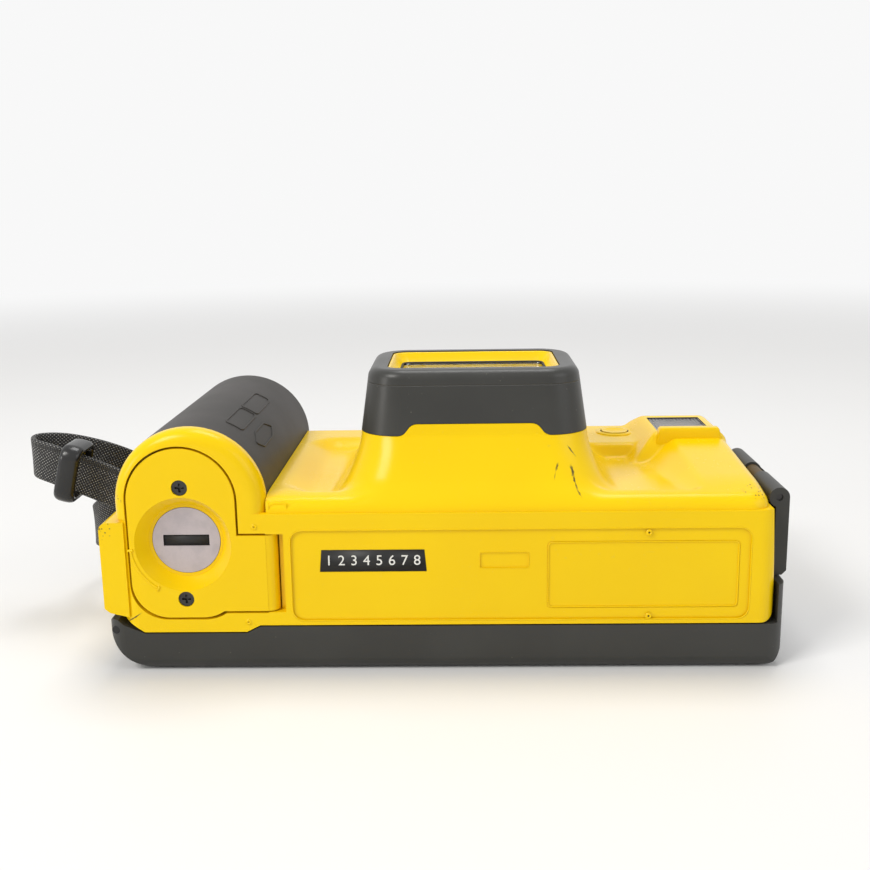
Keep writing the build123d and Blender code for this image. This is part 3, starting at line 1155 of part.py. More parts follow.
def battery():
    """Two-cell lithium pack."""
    pack = along_y(
        Pos(BATTERY_X, BATTERY_Z) * stadium(BATTERY_WIDTH / 2, CHAMBER_HALF_STRAIGHT),
        BATTERY_NEAR_Y, BATTERY_FAR_Y,
    )
    ends = pack.faces().sort_by(Axis.Y)
    pack = fillet(ends[0].edges() + ends[-1].edges(), 0.8)
    groove = Pos(BATTERY_X, BATTERY_Z) * Rectangle(BATTERY_WIDTH + 1, 1.6)
    return pack - along_y(groove - Pos(BATTERY_X, BATTERY_Z) * Rectangle(BATTERY_WIDTH - 3, 3), BATTERY_NEAR_Y - 1, BATTERY_FAR_Y + 1)


def battery_contacts():
    """Two sprung contact plates at the chamber's far end."""
    plates = []
    for side in (-1, 1):
        z = BATTERY_Z + side * CHAMBER_HALF_STRAIGHT
        base = Pos(BATTERY_X, 0, z) * block(-3.0, 3.0, BATTERY_FAR_Y + 1.4, BATTERY_FAR_Y + 1.9, -3.0, 3.0)
        leaf = along_x(
            outline(
                (BATTERY_FAR_Y + 1.4, z - 2.8), (BATTERY_FAR_Y + 0.2, z - 0.3),
                (BATTERY_FAR_Y + 0.2, z + 0.3), (BATTERY_FAR_Y + 1.4, z - 2.2),
            ),
            BATTERY_X - 1.5, BATTERY_X + 1.5,
        )
        plates.append(base + leaf)
    return Compound(children=plates)


# Battery door


def dish():
    """The conical dish around the lock disc, cut from the door."""
    profile = make_face(Polyline(
        (0, 0), (DISH_RADIUS, 0), (DISC_RADIUS + 0.9, DISH_DEPTH), (0, DISH_DEPTH), close=True,
    ))
    cone = revolve(Plane(origin=(0, 0, 0), x_dir=(1, 0, 0), z_dir=(0, 0, 1)) * profile, Axis.Y)
    return Pos(BATTERY_X, BASE, DISC_Z) * cone


def battery_door():
    """Yellow door: flat outside with a conical dish, a plug inside, and a hinge barrel."""
    door = along_y(door_outline(0), BASE, DOOR_FACE_Y)
    barrel = rod_z(
        DOOR_HINGE_X, door_hinge_y(), DOOR_HINGE_RADIUS, HINGE_TAB_BOTTOM_Z, HINGE_TAB_TOP_Z,
    )
    door -= block(DOOR_HINGE_X, 0, BASE - 1, TOP, 0, 80)
    door -= block(DOOR_HINGE_X - 2.2, 0, door_hinge_y(), TOP, 0, 80)
    door += barrel
    plug_half = CHAMBER_HALF_STRAIGHT - 0.5
    plug_radius = CHAMBER_RADIUS - 1.0
    plug_end = DOOR_FACE_Y + 1.6
    plug = Pos(BATTERY_X, BATTERY_Z) * stadium(plug_radius, plug_half)
    door += along_y(plug, DOOR_FACE_Y - 0.1, plug_end)
    door -= dish()
    seat_end = DISC_FACE_Y + DISC_THICKNESS
    door -= rod_y(BATTERY_X, DISC_Z, DISC_RADIUS + SNUG, DISC_FACE_Y - 0.1, seat_end + FIT)
    door -= rod_y(BATTERY_X, DISC_Z, DISC_SHAFT_RADIUS + SHAFT_FIT, BASE, plug_end + 1)
    door -= rod_z(
        DOOR_HINGE_X, door_hinge_y(), DOOR_PIN_RADIUS + SHAFT_FIT, 0, 80,
    )
    for z in door_screw_heights():
        door -= rod_y(BATTERY_X, z, DOOR_SCREW_RADIUS + SNUG, BASE - 1, BASE + 1.6)
        door -= rod_y(BATTERY_X, z, 0.9, BASE, BASE + 4.6)
    return door


def door_screw_heights():
    """Z of the two door screws, above and below the disc."""
    return (DISC_Z - DOOR_SCREW_SPREAD + 0.1, DISC_Z + DOOR_SCREW_SPREAD + 0.1)


def door_screws():
    """Two black cross-head screws, sunk a little below the door's face."""
    screws = []
    for z in door_screw_heights():
        head = rod_y(BATTERY_X, z, DOOR_SCREW_RADIUS, BASE + 0.3, BASE + 1.6)
        cross = Rectangle(2.0, 0.5) + Rectangle(0.5, 2.0)
        head -= along_y(Pos(BATTERY_X, z) * cross, BASE, BASE + 0.9)
        screws.append(head + rod_y(BATTERY_X, z, 0.9, BASE + 1.5, BASE + 4.5))
    return Compound(children=screws)


def door_seal():
    """Rubber ring round the door's plug."""
    outer = Pos(BATTERY_X, BATTERY_Z) * stadium(CHAMBER_RADIUS - 0.35, CHAMBER_HALF_STRAIGHT - 0.5)
    inner = Pos(BATTERY_X, BATTERY_Z) * stadium(CHAMBER_RADIUS - 0.95, CHAMBER_HALF_STRAIGHT - 0.5)
    return along_y(outer - inner, DOOR_FACE_Y + 0.02, DOOR_FACE_Y + 0.8)


def door_hinge_pin():
    """Steel pin of the door's hinge."""
    return rod_z(
        DOOR_HINGE_X, door_hinge_y(), DOOR_PIN_RADIUS, HINGE_TAB_BOTTOM_Z - 1.4, HINGE_TAB_TOP_Z + 1.4,
    )


def door_lock_disc():
    """Metal disc with a coin slot, on a short shaft through the door."""
    disc = rod_y(BATTERY_X, DISC_Z, DISC_RADIUS, DISC_FACE_Y, DISC_FACE_Y + DISC_THICKNESS)
    disc += rod_y(BATTERY_X, DISC_Z, DISC_SHAFT_RADIUS, DISC_FACE_Y + 0.5, tongue_start())
    coin = Pos(BATTERY_X, DISC_Z) * Rectangle(COIN_SLOT_LENGTH, COIN_SLOT_WIDTH)
    return disc - along_y(coin, BASE, DISC_FACE_Y + 1.3)


def tongue_start():
    """Near face of the lock's cross-bar, just behind the door's plug."""
    return DOOR_FACE_Y + 1.6 + FIT


def door_lock_tongue():
    """Steel cross-bar on the disc's shaft, which turns behind the chamber's walls to lock the door."""
    bar = Pos(BATTERY_X, DISC_Z) * SlotOverall(2 * TONGUE_REACH, 5.0, rotation=90)
    return along_y(bar, tongue_start(), tongue_start() + 1.4)


# Rear cover


def cover_side():
    """X-Z outline of the rear cover, with the big curve at the hinge end and the lip at the latch end."""
    low_z = SEAM_LOW_Z - FIT
    step_x = CHAMBER_LEFT + 1.6
    lip_inner = HOUSING_RIGHT + FIT + 0.1
    top = Polyline(
        (COVER_RIGHT, COVER_RIGHT_ROUND),
        (COVER_RIGHT, COVER_LIP_Z),
        (lip_inner, COVER_LIP_Z),
        (lip_inner, COVER_TOP_Z),
        (step_x + 2 * SEAM_DROP, COVER_TOP_Z),
        (step_x, low_z),
        (HINGE_X + 6.5, low_z),
        (HINGE_X + 2.0, HINGE_Z + 1.2),
        (HINGE_X + 0.6, HINGE_Z + 2.3),
        (HINGE_X - 1.0, HINGE_Z + 2.4),
        (COVER_LEFT, HINGE_Z + 1.3),
        (COVER_LEFT + 0.1, HINGE_Z - 0.6),
    )
    hinge_curve = ThreePointArc(
        (COVER_LEFT + 0.1, HINGE_Z - 0.6), (COVER_LEFT + 4.2, HINGE_Z - 6.5), (COVER_LEFT + 13.0, 0),
    )
    bottom = Line((COVER_LEFT + 13.0, 0), (COVER_RIGHT - COVER_RIGHT_ROUND, 0))
    corner = RadiusArc((COVER_RIGHT - COVER_RIGHT_ROUND, 0), (COVER_RIGHT, COVER_RIGHT_ROUND), -COVER_RIGHT_ROUND)
    return make_face(top + hinge_curve + bottom + corner)


def gasket_ring(grow):
    """X-Y ring that goes round the film chamber."""
    left = CHAMBER_LEFT + 1.0
    right = CHAMBER_RIGHT - 1.6
    low = -CHASSIS_HALF + 0.4
    high = CASSETTE_FAR_Y + GASKET_WIDTH + 0.2
    middle = Pos((left + right) / 2, (low + high) / 2)
    outer = rounded((right - left) / 2 + grow, (high - low) / 2 + grow, 3.0)
    inner = rounded((right - left) / 2 - GASKET_WIDTH - grow, (high - low) / 2 - GASKET_WIDTH - grow, 2.0)
    return middle * (outer - inner)


def rear_cover():
    """Dark tray that closes the back, with a seal groove, an eyepiece opening and hinge knuckles."""
    section = Pos(0, COVER_LIP_Z) * rounded(HOUSING_HALF, COVER_LIP_Z, COVER_EDGE_ROUND)
    cover = along_y(cover_side(), BASE, TOP)
    cover &= along_x(section, COVER_LEFT - 1, COVER_RIGHT + 1)
    cover &= along_z(plan_outline(COVER_LEFT, COVER_RIGHT, HOUSING_HALF, HOUSING_CORNER), -1, 60)
    inner_half = HOUSING_HALF - COVER_WALL
    tray = plan_outline(CHAMBER_LEFT - 0.6, HOUSING_RIGHT - COVER_WALL - 0.6, inner_half, 3.0)
    cover -= along_z(tray, COVER_FLOOR, 60)
    battery_side = plan_outline(HINGE_X + 6.0, CHAMBER_LEFT - 2.6, inner_half, 3.0)
    cover -= along_z(battery_side, COVER_FLOOR, 60)
    wall = gasket_ring(0.8)
    cover += along_z(wall, COVER_FLOOR - 0.5, CHASSIS_BACK_Z - 2.2)
    cover -= along_z(gasket_ring(SNUG), CHASSIS_BACK_Z - FIT - GASKET_HEIGHT, CHASSIS_BACK_Z)
    eye = Rectangle(FINDER_WIDTH + 1.4, FINDER_HEIGHT + 1.2)
    cover -= along_z(Pos(LENS_X, FINDER_Y) * eye, -1, COVER_TOP_Z + 1)
    # Room for the body's hinge lug, and the pin's bore
    half = HINGE_LUG_LENGTH / 2 + FIT
    lug_room = rod_y(HINGE_X, HINGE_Z, HINGE_LUG_RADIUS + 0.5, -half, half)
    lug_room += block(COVER_LEFT - 1, HINGE_X + HINGE_LUG_RADIUS + 0.5, -half, half, HINGE_Z, 20)
    lug_room += block(COVER_LEFT - 1, HINGE_X, -half, half, HINGE_Z - HINGE_LUG_RADIUS - 0.5, 20)
    cover -= lug_room
    cover -= rod_y(HINGE_X, HINGE_Z, HINGE_PIN_RADIUS, BASE - 1, TOP + 1)
    for x, y in plate_guide_places():
        cover += rod_z(x, y, 1.2, COVER_FLOOR - 0.5, FILM_Z - 0.4)
    return cover


def plate_guide_places():
    """X and Y of the four posts that guide the pressure plate by its corners."""
    reach_x = PLATE_WIDTH / 2 - 2.4
    reach_y = PLATE_HEIGHT / 2 - 2.4
    return [(LENS_X + a * reach_x, LENS_Y + b * reach_y) for a in (-1, 1) for b in (-1, 1)]


def rear_cover_seal():
    """Rubber ring in the cover's groove."""
    high = CHASSIS_BACK_Z - FIT
    return along_z(gasket_ring(0), high - GASKET_HEIGHT, high)


def cover_hinge_pin():
    """Steel pin through the cover's end knuckles and the body's lug."""
    return rod_y(HINGE_X, HINGE_Z, HINGE_PIN_RADIUS, BASE + 0.6, TOP - 0.6)


def pressure_plate():
    """Flat plate that holds the film in the gate, on two posts."""
    low = FILM_Z - PLATE_THICKNESS
    plate = along_z(turret_section(PLATE_WIDTH / 2, PLATE_HEIGHT / 2, 1.5, 0), low, FILM_Z)
    for x, y in plate_guide_places():
        plate -= rod_z(x, y, 1.2 + FIT, 0, 20)
    return plate


def pressure_spring():
    """Bowed leaf spring behind the pressure plate, with two slots for the posts."""
    low = COVER_FLOOR + SNUG
    high = FILM_Z - PLATE_THICKNESS - PLATE_TRAVEL - 0.2
    reach = PLATE_WIDTH / 2 - 4.0
    thick = 0.3
    leaf = outline(
        (LENS_X - reach, low), (LENS_X - 5, low), (LENS_X + 5, low), (LENS_X + reach, low),
        (LENS_X + reach, low + thick), (LENS_X + 5, low + thick), (LENS_X + 3, high),
        (LENS_X - 3, high), (LENS_X - 5, low + thick), (LENS_X - reach, low + thick),
    )
    return along_y(leaf, LENS_Y - SPRING_WIDTH / 2, LENS_Y + SPRING_WIDTH / 2)


# Latch


def cover_latch():
    """Dark lever on the right end, rounded over its pin at the front."""
    inner = HOUSING_RIGHT + FIT
    outer = LATCH_PIN_X + LATCH_ROUND
    foot_inner = inner + 0.1
    side = outline(
        (foot_inner, LATCH_END_Z),
        (outer - 1.0, LATCH_END_Z),
        (outer, LATCH_END_Z + 1.0),
        (outer, LATCH_PIN_Z),
        (LATCH_PIN_X, LATCH_PIN_Z),
        (foot_inner, LATCH_PIN_Z - LATCH_ROUND),
    )
    top = LATCH_START + LATCH_LENGTH
    lever = along_y(side, LATCH_START, top) + rod_y(LATCH_PIN_X, LATCH_PIN_Z, LATCH_ROUND, LATCH_START, top)
    low = LATCH_START + (LATCH_LENGTH - LATCH_LUG_LENGTH) / 2 - FIT
    high = low + LATCH_LUG_LENGTH + 2 * FIT
    lever -= block(inner - 3, LATCH_PIN_X + LATCH_ROUND - 0.2, low, high, LATCH_PIN_Z - LATCH_ROUND - 3.6, 60)
    lever -= rod_y(LATCH_PIN_X, LATCH_PIN_Z, LATCH_PIN_RADIUS, LATCH_START - 1, top + 1)
    return lever


def latch_pin():
    """Steel pin of the latch."""
    return rod_y(
        LATCH_PIN_X, LATCH_PIN_Z, LATCH_PIN_RADIUS, LATCH_START + 0.5, LATCH_START + LATCH_LENGTH - 0.5,
    )


# Top plate controls


def shutter_button():
    """Large round button on the grip's end, with a stem for its spring."""
    cap = rod_y(GRIP_X, GRIP_Z, SHUTTER_RADIUS, TOP - SHUTTER_DEPTH, TOP + SHUTTER_PROUD)
    outer_edge = cap.edges().filter_by(GeomType.CIRCLE).sort_by(Axis.Y)[-1]
    cap = fillet(outer_edge, 0.8)
    return cap + rod_y(GRIP_X, GRIP_Z, 1.6, TOP - SHUTTER_DEPTH - 1.8, TOP - SHUTTER_DEPTH + 0.1)


def shutter_spring():
    """Coil spring under the shutter button, drawn as its sleeve."""
    outer = rod_y(GRIP_X, GRIP_Z, 3.6, TOP - SHUTTER_ROOM, TOP - SHUTTER_DEPTH - SHUTTER_TRAVEL - FIT)
    return outer - rod_y(GRIP_X, GRIP_Z, 2.4, TOP - SHUTTER_ROOM - 1, TOP)


def main_switch():
    """Sliding on-off switch with a ribbed top."""
    knob = Pos(SWITCH_X, 0, SWITCH_Z) * block(
        -SWITCH_LENGTH / 2, SWITCH_LENGTH / 2, TOP + FIT, TOP + 2.2, -SWITCH_WIDTH / 2, SWITCH_WIDTH / 2,
    )
    for index in range(-2, 3):
        x = SWITCH_X + index * 1.5
        knob -= block(x - 0.3, x + 0.3, TOP + 1.6, TOP + 3, SWITCH_Z - SWITCH_WIDTH, SWITCH_Z + SWITCH_WIDTH)
    return knob + rod_y(SWITCH_X, SWITCH_Z, 1.5, TOP - HOUSING_WALL + FIT, TOP + FIT + 0.5)


def zoom_button():
    """Round button that changes the focal length."""
    inner = CHASSIS_HALF - FIT
    cap = rod_y(ZOOM_X, ZOOM_Z, ZOOM_RADIUS, inner - 0.5, TOP + 1.2)
    outer_edge = cap.edges().filter_by(GeomType.CIRCLE).sort_by(Axis.Y)[-1]
    return fillet(outer_edge, 0.6) + rod_y(ZOOM_X, ZOOM_Z, ZOOM_RADIUS + 0.8, inner - 0.9, inner)


def self_timer_button():
    """Round button on the front, slightly dished."""
    top = PANEL_TOP_Z + 1.0
    cap = rod_z(TIMER_X, TIMER_Y, TIMER_RADIUS, LEDGE_Z + TIMER_TRAVEL + FIT, top)
    dimple_radius = 12.0
    cap -= Pos(TIMER_X, TIMER_Y, top + dimple_radius - 0.4) * Sphere(dimple_radius)
    return cap


def counter_window():
    """Small round window of the frame counter."""
    return rod_y(COUNTER_X, COUNTER_Z, COUNTER_RADIUS, TOP - 1.6, TOP - 0.2)


def counter_dial():
    """Dial under the counter window, turning on a short stud."""
    dial = rod_y(COUNTER_X, COUNTER_Z, COUNTER_RADIUS - 0.5, TOP - 3.0, TOP - 2.2)
    return dial + rod_y(COUNTER_X, COUNTER_Z, GEAR_SHAFT_RADIUS, TOP - 5.8, TOP - 2.9)


# Wrist strap

# Middle line of the webbing, from the bar out to the buckle, back behind the camera in a hand
# loop that lies on the surface, and up to the bar again
STRAP_ROUTE = [
    (-74.6, 3.6, 27.8), (-81, 3.2, 31), (-89, 3.0, 34.6), (-97, 3.2, 37.6), (-103, 5.0, 39),
    (-103.5, 9.6, 39.4), (-97, 12.6, 38.8), (-88, 14.6, 36), (-80.5, 19, 31), (-77, 27, 25),
    (-75.5, 37, 18), (-70, 45, 11), (-57, 50, 6.5), (-40, 51.2, 5.5), (-22, 50.6, 5.5),
    (-6, 51, 5.5), (5, 54, 5.5), (6.5, 61, 5.5), (-3, 65.2, 5.5), (-20, 65.8, 5.5),
    (-38, 65, 5.5), (-54, 62.5, 5.5), (-68, 57, 6), (-79.5, 48, 7.5), (-87.5, 36, 10.5),
    (-91.5, 23.5, 14.5), (-92, 13.5, 18.5), (-87, 7.6, 22.5), (-81, 6.6, 25), (-75.4, 6.4, 26),
]
BUCKLE_PLACE = (-93.0, 0.4, 36.0)
BUCKLE_TILT = -20.0


def strap_path():
    """The route's runs joined by arcs, each 0.45 of its shorter run."""
    points = [Vector(*point) for point in STRAP_ROUTE]
    radii = []
    for before, corner, after in zip(points, points[1:], points[2:]):
        run_in = corner - before
        run_out = after - corner
        shorter = min(run_in.length, run_out.length)
        radii.append(0.45 * shorter / tan(radians(run_in.get_angle(run_out) / 2)))
    print("strap radii", [round(radius, 1) for radius in radii])
    return FilletPolyline(*points, radius=radii)


def strap_section(edge, share):
    """The webbing's upright section at a share of one edge of its path."""
    point = edge @ share
    heading = edge % share
    across = Vector(-heading.Y, heading.X, 0).normalized() * (STRAP_THICKNESS / 2)
    up = Vector(0, 0, STRAP_WIDTH / 2)
    corners = [point + across + up, point - across + up, point - across - up, point + across - up]
    return Face(Wire.make_polygon(corners, close=True))


def wrist_strap():
    """Black webbing, standing on its edge all along its path."""
    path = strap_path()
    sections = []
    for edge in path.edges():
        sections.append(strap_section(edge, 0))
        if edge.geom_type != GeomType.LINE:
            sections.append(strap_section(edge, 0.5))
    sections.append(strap_section(path.edges()[-1], 1))
    webbing = loft(sections, ruled=True)
    print("strap length", round(path.length, 1))
    return webbing


def strap_buckle():
    """Ladder-lock buckle: a frame with a middle bar, tilted like the webbing that it rides on."""
    frame = Rectangle(BUCKLE_LENGTH, BUCKLE_HEIGHT)
    frame = fillet(frame.vertices(), 1.6)
    slot_width = (BUCKLE_LENGTH - 3 * 2.2) / 2
    for side in (-1, 1):
        frame -= Pos(side * (slot_width + 2.2) / 2, 0) * Rectangle(slot_width, STRAP_WIDTH + 0.6)
    solid = along_y(frame, -BUCKLE_THICKNESS / 2, BUCKLE_THICKNESS / 2)
    return Pos(*BUCKLE_PLACE) * Rot(0, -BUCKLE_TILT, 0) * solid


PIECES = [
    body_shell, front_panel, grip_cover, lens_hood, lens_bezel, port_glass, port_seal, chassis,
    chassis_screws, guide_rods, take_up_spool, film_motor, sprocket, rewind_fork, lens_barrel,
    front_lens, rear_lens, shutter_unit, viewfinder_tube, viewfinder_eyepiece, viewfinder_objective,
    viewfinder_window, autofocus_windows, flash_window, flash_reflector, flash_tube,
    flash_capacitor, circuit_board, battery, battery_contacts, battery_door, door_screws, door_seal,
    door_hinge_pin, door_lock_disc, door_lock_tongue, rear_cover, rear_cover_seal, cover_hinge_pin,
    pressure_plate, pressure_spring, cover_latch, latch_pin, shutter_button, shutter_spring,
    main_switch, zoom_button, self_timer_button, counter_window, counter_dial, strap_bar,
    wrist_strap, strap_buckle,
]

os.makedirs("parts", exist_ok=True)
model = {piece.__name__: piece() for piece in PIECES}
for number, gear in enumerate(transport_gears(), start=1):
    model[f"transport_gear_{number}"] = gear
for name, solid in model.items():
    export_step(solid, f"parts/{name}.step")
    print(name, round(solid.volume, 1))
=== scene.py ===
# %% [markdown]
# # A waterproof film camera
#
# The camera lies on its back. A dark cover closes the film side, a yellow housing holds the
# works, and a dark hood stands over the lens port. The solid parts come from the CAD model as a
# fixed frame, so this script never moves them. It gives each of them a finish, and puts a
# finer surface where the real moulding is softer than a drawing.

from math import pi, radians

import bpy
import numpy as np
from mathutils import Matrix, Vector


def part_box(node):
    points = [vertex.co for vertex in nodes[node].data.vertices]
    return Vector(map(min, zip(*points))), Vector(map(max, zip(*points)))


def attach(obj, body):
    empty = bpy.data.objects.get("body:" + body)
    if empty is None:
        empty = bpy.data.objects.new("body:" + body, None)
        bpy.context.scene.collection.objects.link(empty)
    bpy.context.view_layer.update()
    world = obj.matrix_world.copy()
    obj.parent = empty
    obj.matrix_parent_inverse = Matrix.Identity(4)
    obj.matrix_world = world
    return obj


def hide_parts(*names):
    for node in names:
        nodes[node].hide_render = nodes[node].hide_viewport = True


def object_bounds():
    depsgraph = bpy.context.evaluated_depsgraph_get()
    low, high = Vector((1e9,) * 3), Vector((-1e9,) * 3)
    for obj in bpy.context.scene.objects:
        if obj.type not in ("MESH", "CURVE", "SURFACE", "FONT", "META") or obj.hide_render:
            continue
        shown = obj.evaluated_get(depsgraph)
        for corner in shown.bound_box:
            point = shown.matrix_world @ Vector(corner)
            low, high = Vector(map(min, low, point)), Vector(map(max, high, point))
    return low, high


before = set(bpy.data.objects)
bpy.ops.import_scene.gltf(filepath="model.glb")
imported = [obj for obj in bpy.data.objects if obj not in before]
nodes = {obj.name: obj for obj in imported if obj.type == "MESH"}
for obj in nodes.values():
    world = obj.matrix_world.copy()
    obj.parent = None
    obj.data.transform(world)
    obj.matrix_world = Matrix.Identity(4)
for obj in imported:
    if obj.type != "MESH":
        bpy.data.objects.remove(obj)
cad_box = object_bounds()
MM = 0.001

# %% [markdown]
# ## The eye
#
# A photograph fixes where the lens stood. The long straight edges of the housing run to a
# vanishing point, and that gives the tilt. The known width of the housing gives the distance.
# The three turns are kept as plain angles, and the lens as its focal length on a 36 mm sensor.

# %% Camera
EYE = (5.12, -259.88, 101.67)
EYE_TURN = (77.678, 0.874, 1.354)
FOCAL_LENGTH = 45.33
SENSOR_WIDTH = 36

eye_data = bpy.data.cameras.new("eye")
eye_data.lens = FOCAL_LENGTH
eye_data.sensor_width = SENSOR_WIDTH
eye_data.clip_start = 0.01
eye = bpy.data.objects.new("eye", eye_data)
eye.location = np.array(EYE) * MM
eye.rotation_euler = [radians(turn) for turn in EYE_TURN]
bpy.context.collection.objects.link(eye)
bpy.context.scene.camera = eye
print("eye at", EYE, "mm, lens", FOCAL_LENGTH, "mm")

# %% [markdown]
# ## Numbers that run through nodes
#
# A finish is a small program of shader nodes. Wired by hand it is hard to read, so one class
# stands for a socket and lets Python's own operators add the Math nodes. The sum of two noises
# is then written as a sum, and it builds the same nodes as it would by hand.

# %% Sockets as expressions
class Wire:
    """A node's output, with the operators that the finishes below use."""

    def __init__(self, finish, socket):
        self.finish = finish
        self.socket = socket

    def maths(self, operation, *values):
        return self.finish.node("ShaderNodeMath", {"operation": operation}, dict(enumerate(values)))

    def __add__(self, other):
        return self.maths("ADD", self, other)

    __radd__ = __add__

    def __sub__(self, other):
        return self.maths("SUBTRACT", self, other)

    def __rsub__(self, other):
        return self.maths("SUBTRACT", other, self)

    def __mul__(self, other):
        return self.maths("MULTIPLY", self, other)

    __rmul__ = __mul__

    def __pow__(self, other):
        return self.maths("POWER", self, other)

    def larger(self, other):
        return self.maths("MAXIMUM", self, other)

    def smaller(self, other):
        return self.maths("MINIMUM", self, other)

    def absolute(self):
        return self.maths("ABSOLUTE", self)

    def sine(self):
        return self.maths("SINE", self)

    def between(self, low, high):
        """0 below low, 1 above high, and a smooth step from one to the other."""
        sockets = {"Value": self, "From Min": low, "From Max": high}
        return self.finish.node("ShaderNodeMapRange", {"interpolation_type": "SMOOTHSTEP"}, sockets)


# %% [markdown]
# Every finish starts from the same all-round shader. What is the same all over a piece, such as
# the gloss of a plastic, is set once as a plain number. What changes over it, such as dust, is
# wired in. Any node that isn't maths goes through one method, which names it, sets it and fills
# its sockets. Patterns are worked out from the place on the object, in metres, so a grain has
# its real size and doesn't slide when a piece moves.

# %% One finish
class Finish:
    """One material. Its patterns read Object coordinates, in metres."""

    def __init__(self, name, **constants):
        self.material = bpy.data.materials.new(name)
        self.material.use_nodes = True
        self.tree = self.material.node_tree
        self.shader = self.tree.nodes["Principled BSDF"]
        for socket, value in constants.items():
            self.shader.inputs[socket.replace("_", " ")].default_value = value
        self.place = self.node("ShaderNodeTexCoord", output="Object")

    def node(self, kind, settings=None, sockets=None, output=0):
        """Adds a node, sets its settings, fills its sockets with values or wires."""
        made = self.tree.nodes.new(kind)
        for key, value in (settings or {}).items():
            setattr(made, key, value)
        for key, value in (sockets or {}).items():
            if isinstance(value, Wire):
                self.tree.links.new(value.socket, made.inputs[key])
            else:
                made.inputs[key].default_value = value
        return Wire(self, made.outputs[output])

    def noise(self, size_mm, detail=2.0, stretch=(1, 1, 1)):
        """Soft noise from 0 to 1, with patches about size_mm across."""
        placed = self.node("ShaderNodeMapping", {}, {"Vector": self.place, "Scale": stretch})
        sockets = {"Vector": placed, "Scale": 1 / (size_mm * MM), "Detail": detail}
        return self.node("ShaderNodeTexNoise", {}, sockets)

    def cells(self, size_mm):
        """Distance to the nearest of many scattered points, 0 at each of them."""
        sockets = {"Vector": self.place, "Scale": 1 / (size_mm * MM)}
        return self.node("ShaderNodeTexVoronoi", {}, sockets)

    def mix(self, factor, first, second):
        """A colour from first to second as factor goes from 0 to 1."""
        sockets = {0: factor, 6: first, 7: second}
        return self.node("ShaderNodeMix", {"data_type": "RGBA"}, sockets, 2)

    def paint(self, **wires):
        """Links wires into the shader's own sockets."""
        for socket, wire in wires.items():
            self.tree.links.new(wire.socket, self.shader.inputs[socket.replace("_", " ")])
        return self.material

    def relief(self, height, depth_mm, strength=1.0):
        """A bump whose height of 1 stands depth_mm proud."""
        sockets = {"Height": height, "Distance": depth_mm * MM, "Strength": strength}
        return self.node("ShaderNodeBump", {}, sockets)


def grey(level):
    """A neutral colour."""
    return (level, level, level, 1.0)


def dress(material, *names):
    """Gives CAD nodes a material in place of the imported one."""
    for name in names:
        for slot in nodes[name].material_slots:
            slot.material = material
    print(material.name, "on", ", ".join(names))


# %% [markdown]
# ## The yellow plastic
#
# The housing is glossy coloured plastic, so its colour goes right through and wear shows as
# dull scratches and dirt, not as chipped paint. The colour drifts a little over the moulding,
# fine dust dulls it, and hairline scratches catch the light. Scuffs sit only where the camera
# has knocked against things, so each one is a stroke between two points. A noise alone could
# scatter them too, but it would put them anywhere.

# %% Yellow finish
YELLOW = (0.89, 0.60, 0.002, 1)
DEEP_YELLOW = (0.82, 0.51, 0.003, 1)
# Dirt colour for dust, scratches, scuffs and specks, and also painted shade for the spots in the pips'
# pits and under the latch.
DIRT_AND_SHADE = (0.085, 0.055, 0.02, 1)
NEAR_SIDE = (-21 * MM, -18 * MM)


def hairlines(finish):
    """Fine scratches: two noises drawn out along different directions, cut near their middle."""
    along = finish.noise(9.0, 2, (1, 14, 14)) - 0.5
    across = finish.noise(8.0, 2, (16, 1.5, 5)) - 0.5
    first = 1 - along.absolute().between(0.0, 0.006)
    second = 1 - across.absolute().between(0.0, 0.005)
    return first.larger(second) * finish.noise(14.0, 1).between(0.55, 0.75)


def near_point(finish, centre, radius):
    """1 close to a point in mm, 0 beyond radius."""
    sockets = {0: finish.place, 1: tuple(np.array(centre) * MM)}
    reach = finish.node("ShaderNodeVectorMath", {"operation": "DISTANCE"}, sockets, "Value")
    return 1 - reach.between(0.75 * radius * MM, radius * MM)


def scuff(finish, start, end, width):
    """1 near the stroke from start to end, in x and z alone and on the near side of the camera.

    The distance from the stroke is what is left of the reach after its part along the stroke:
    the root of reach squared less along squared. A noise is added to it, so the edges are ragged.
    """
    low = np.array([start[0], 0, start[1]]) * MM
    run = np.array([end[0], 0, end[1]]) * MM - low
    length = float(np.linalg.norm(run))
    kind, aim = "ShaderNodeVectorMath", tuple(run / length)
    flat = finish.node(kind, {"operation": "MULTIPLY"}, {0: finish.place, 1: (1, 0, 1)})
    reach = finish.node(kind, {"operation": "SUBTRACT"}, {0: flat, 1: tuple(low)})
    along = finish.node(kind, {"operation": "DOT_PRODUCT"}, {0: reach, 1: aim}, "Value")
    size = finish.node(kind, {"operation": "LENGTH"}, {0: reach}, "Value")
    aside = (size * size - along * along).larger(0.0) ** 0.5
    ragged = aside + (finish.noise(0.7, 5) - 0.5) * (1.6 * width * MM)
    inside = 1 - ragged.between(0.35 * width * MM, 0.6 * width * MM)
    ends = along.between(-0.6 * MM, 0.6 * MM) * (1 - along.between(length - 1.2 * MM, length + 0.6 * MM))
    side = finish.node("ShaderNodeSeparateXYZ", {}, {0: finish.place}, "Y")
    return inside * ends * (1 - side.between(*NEAR_SIDE))


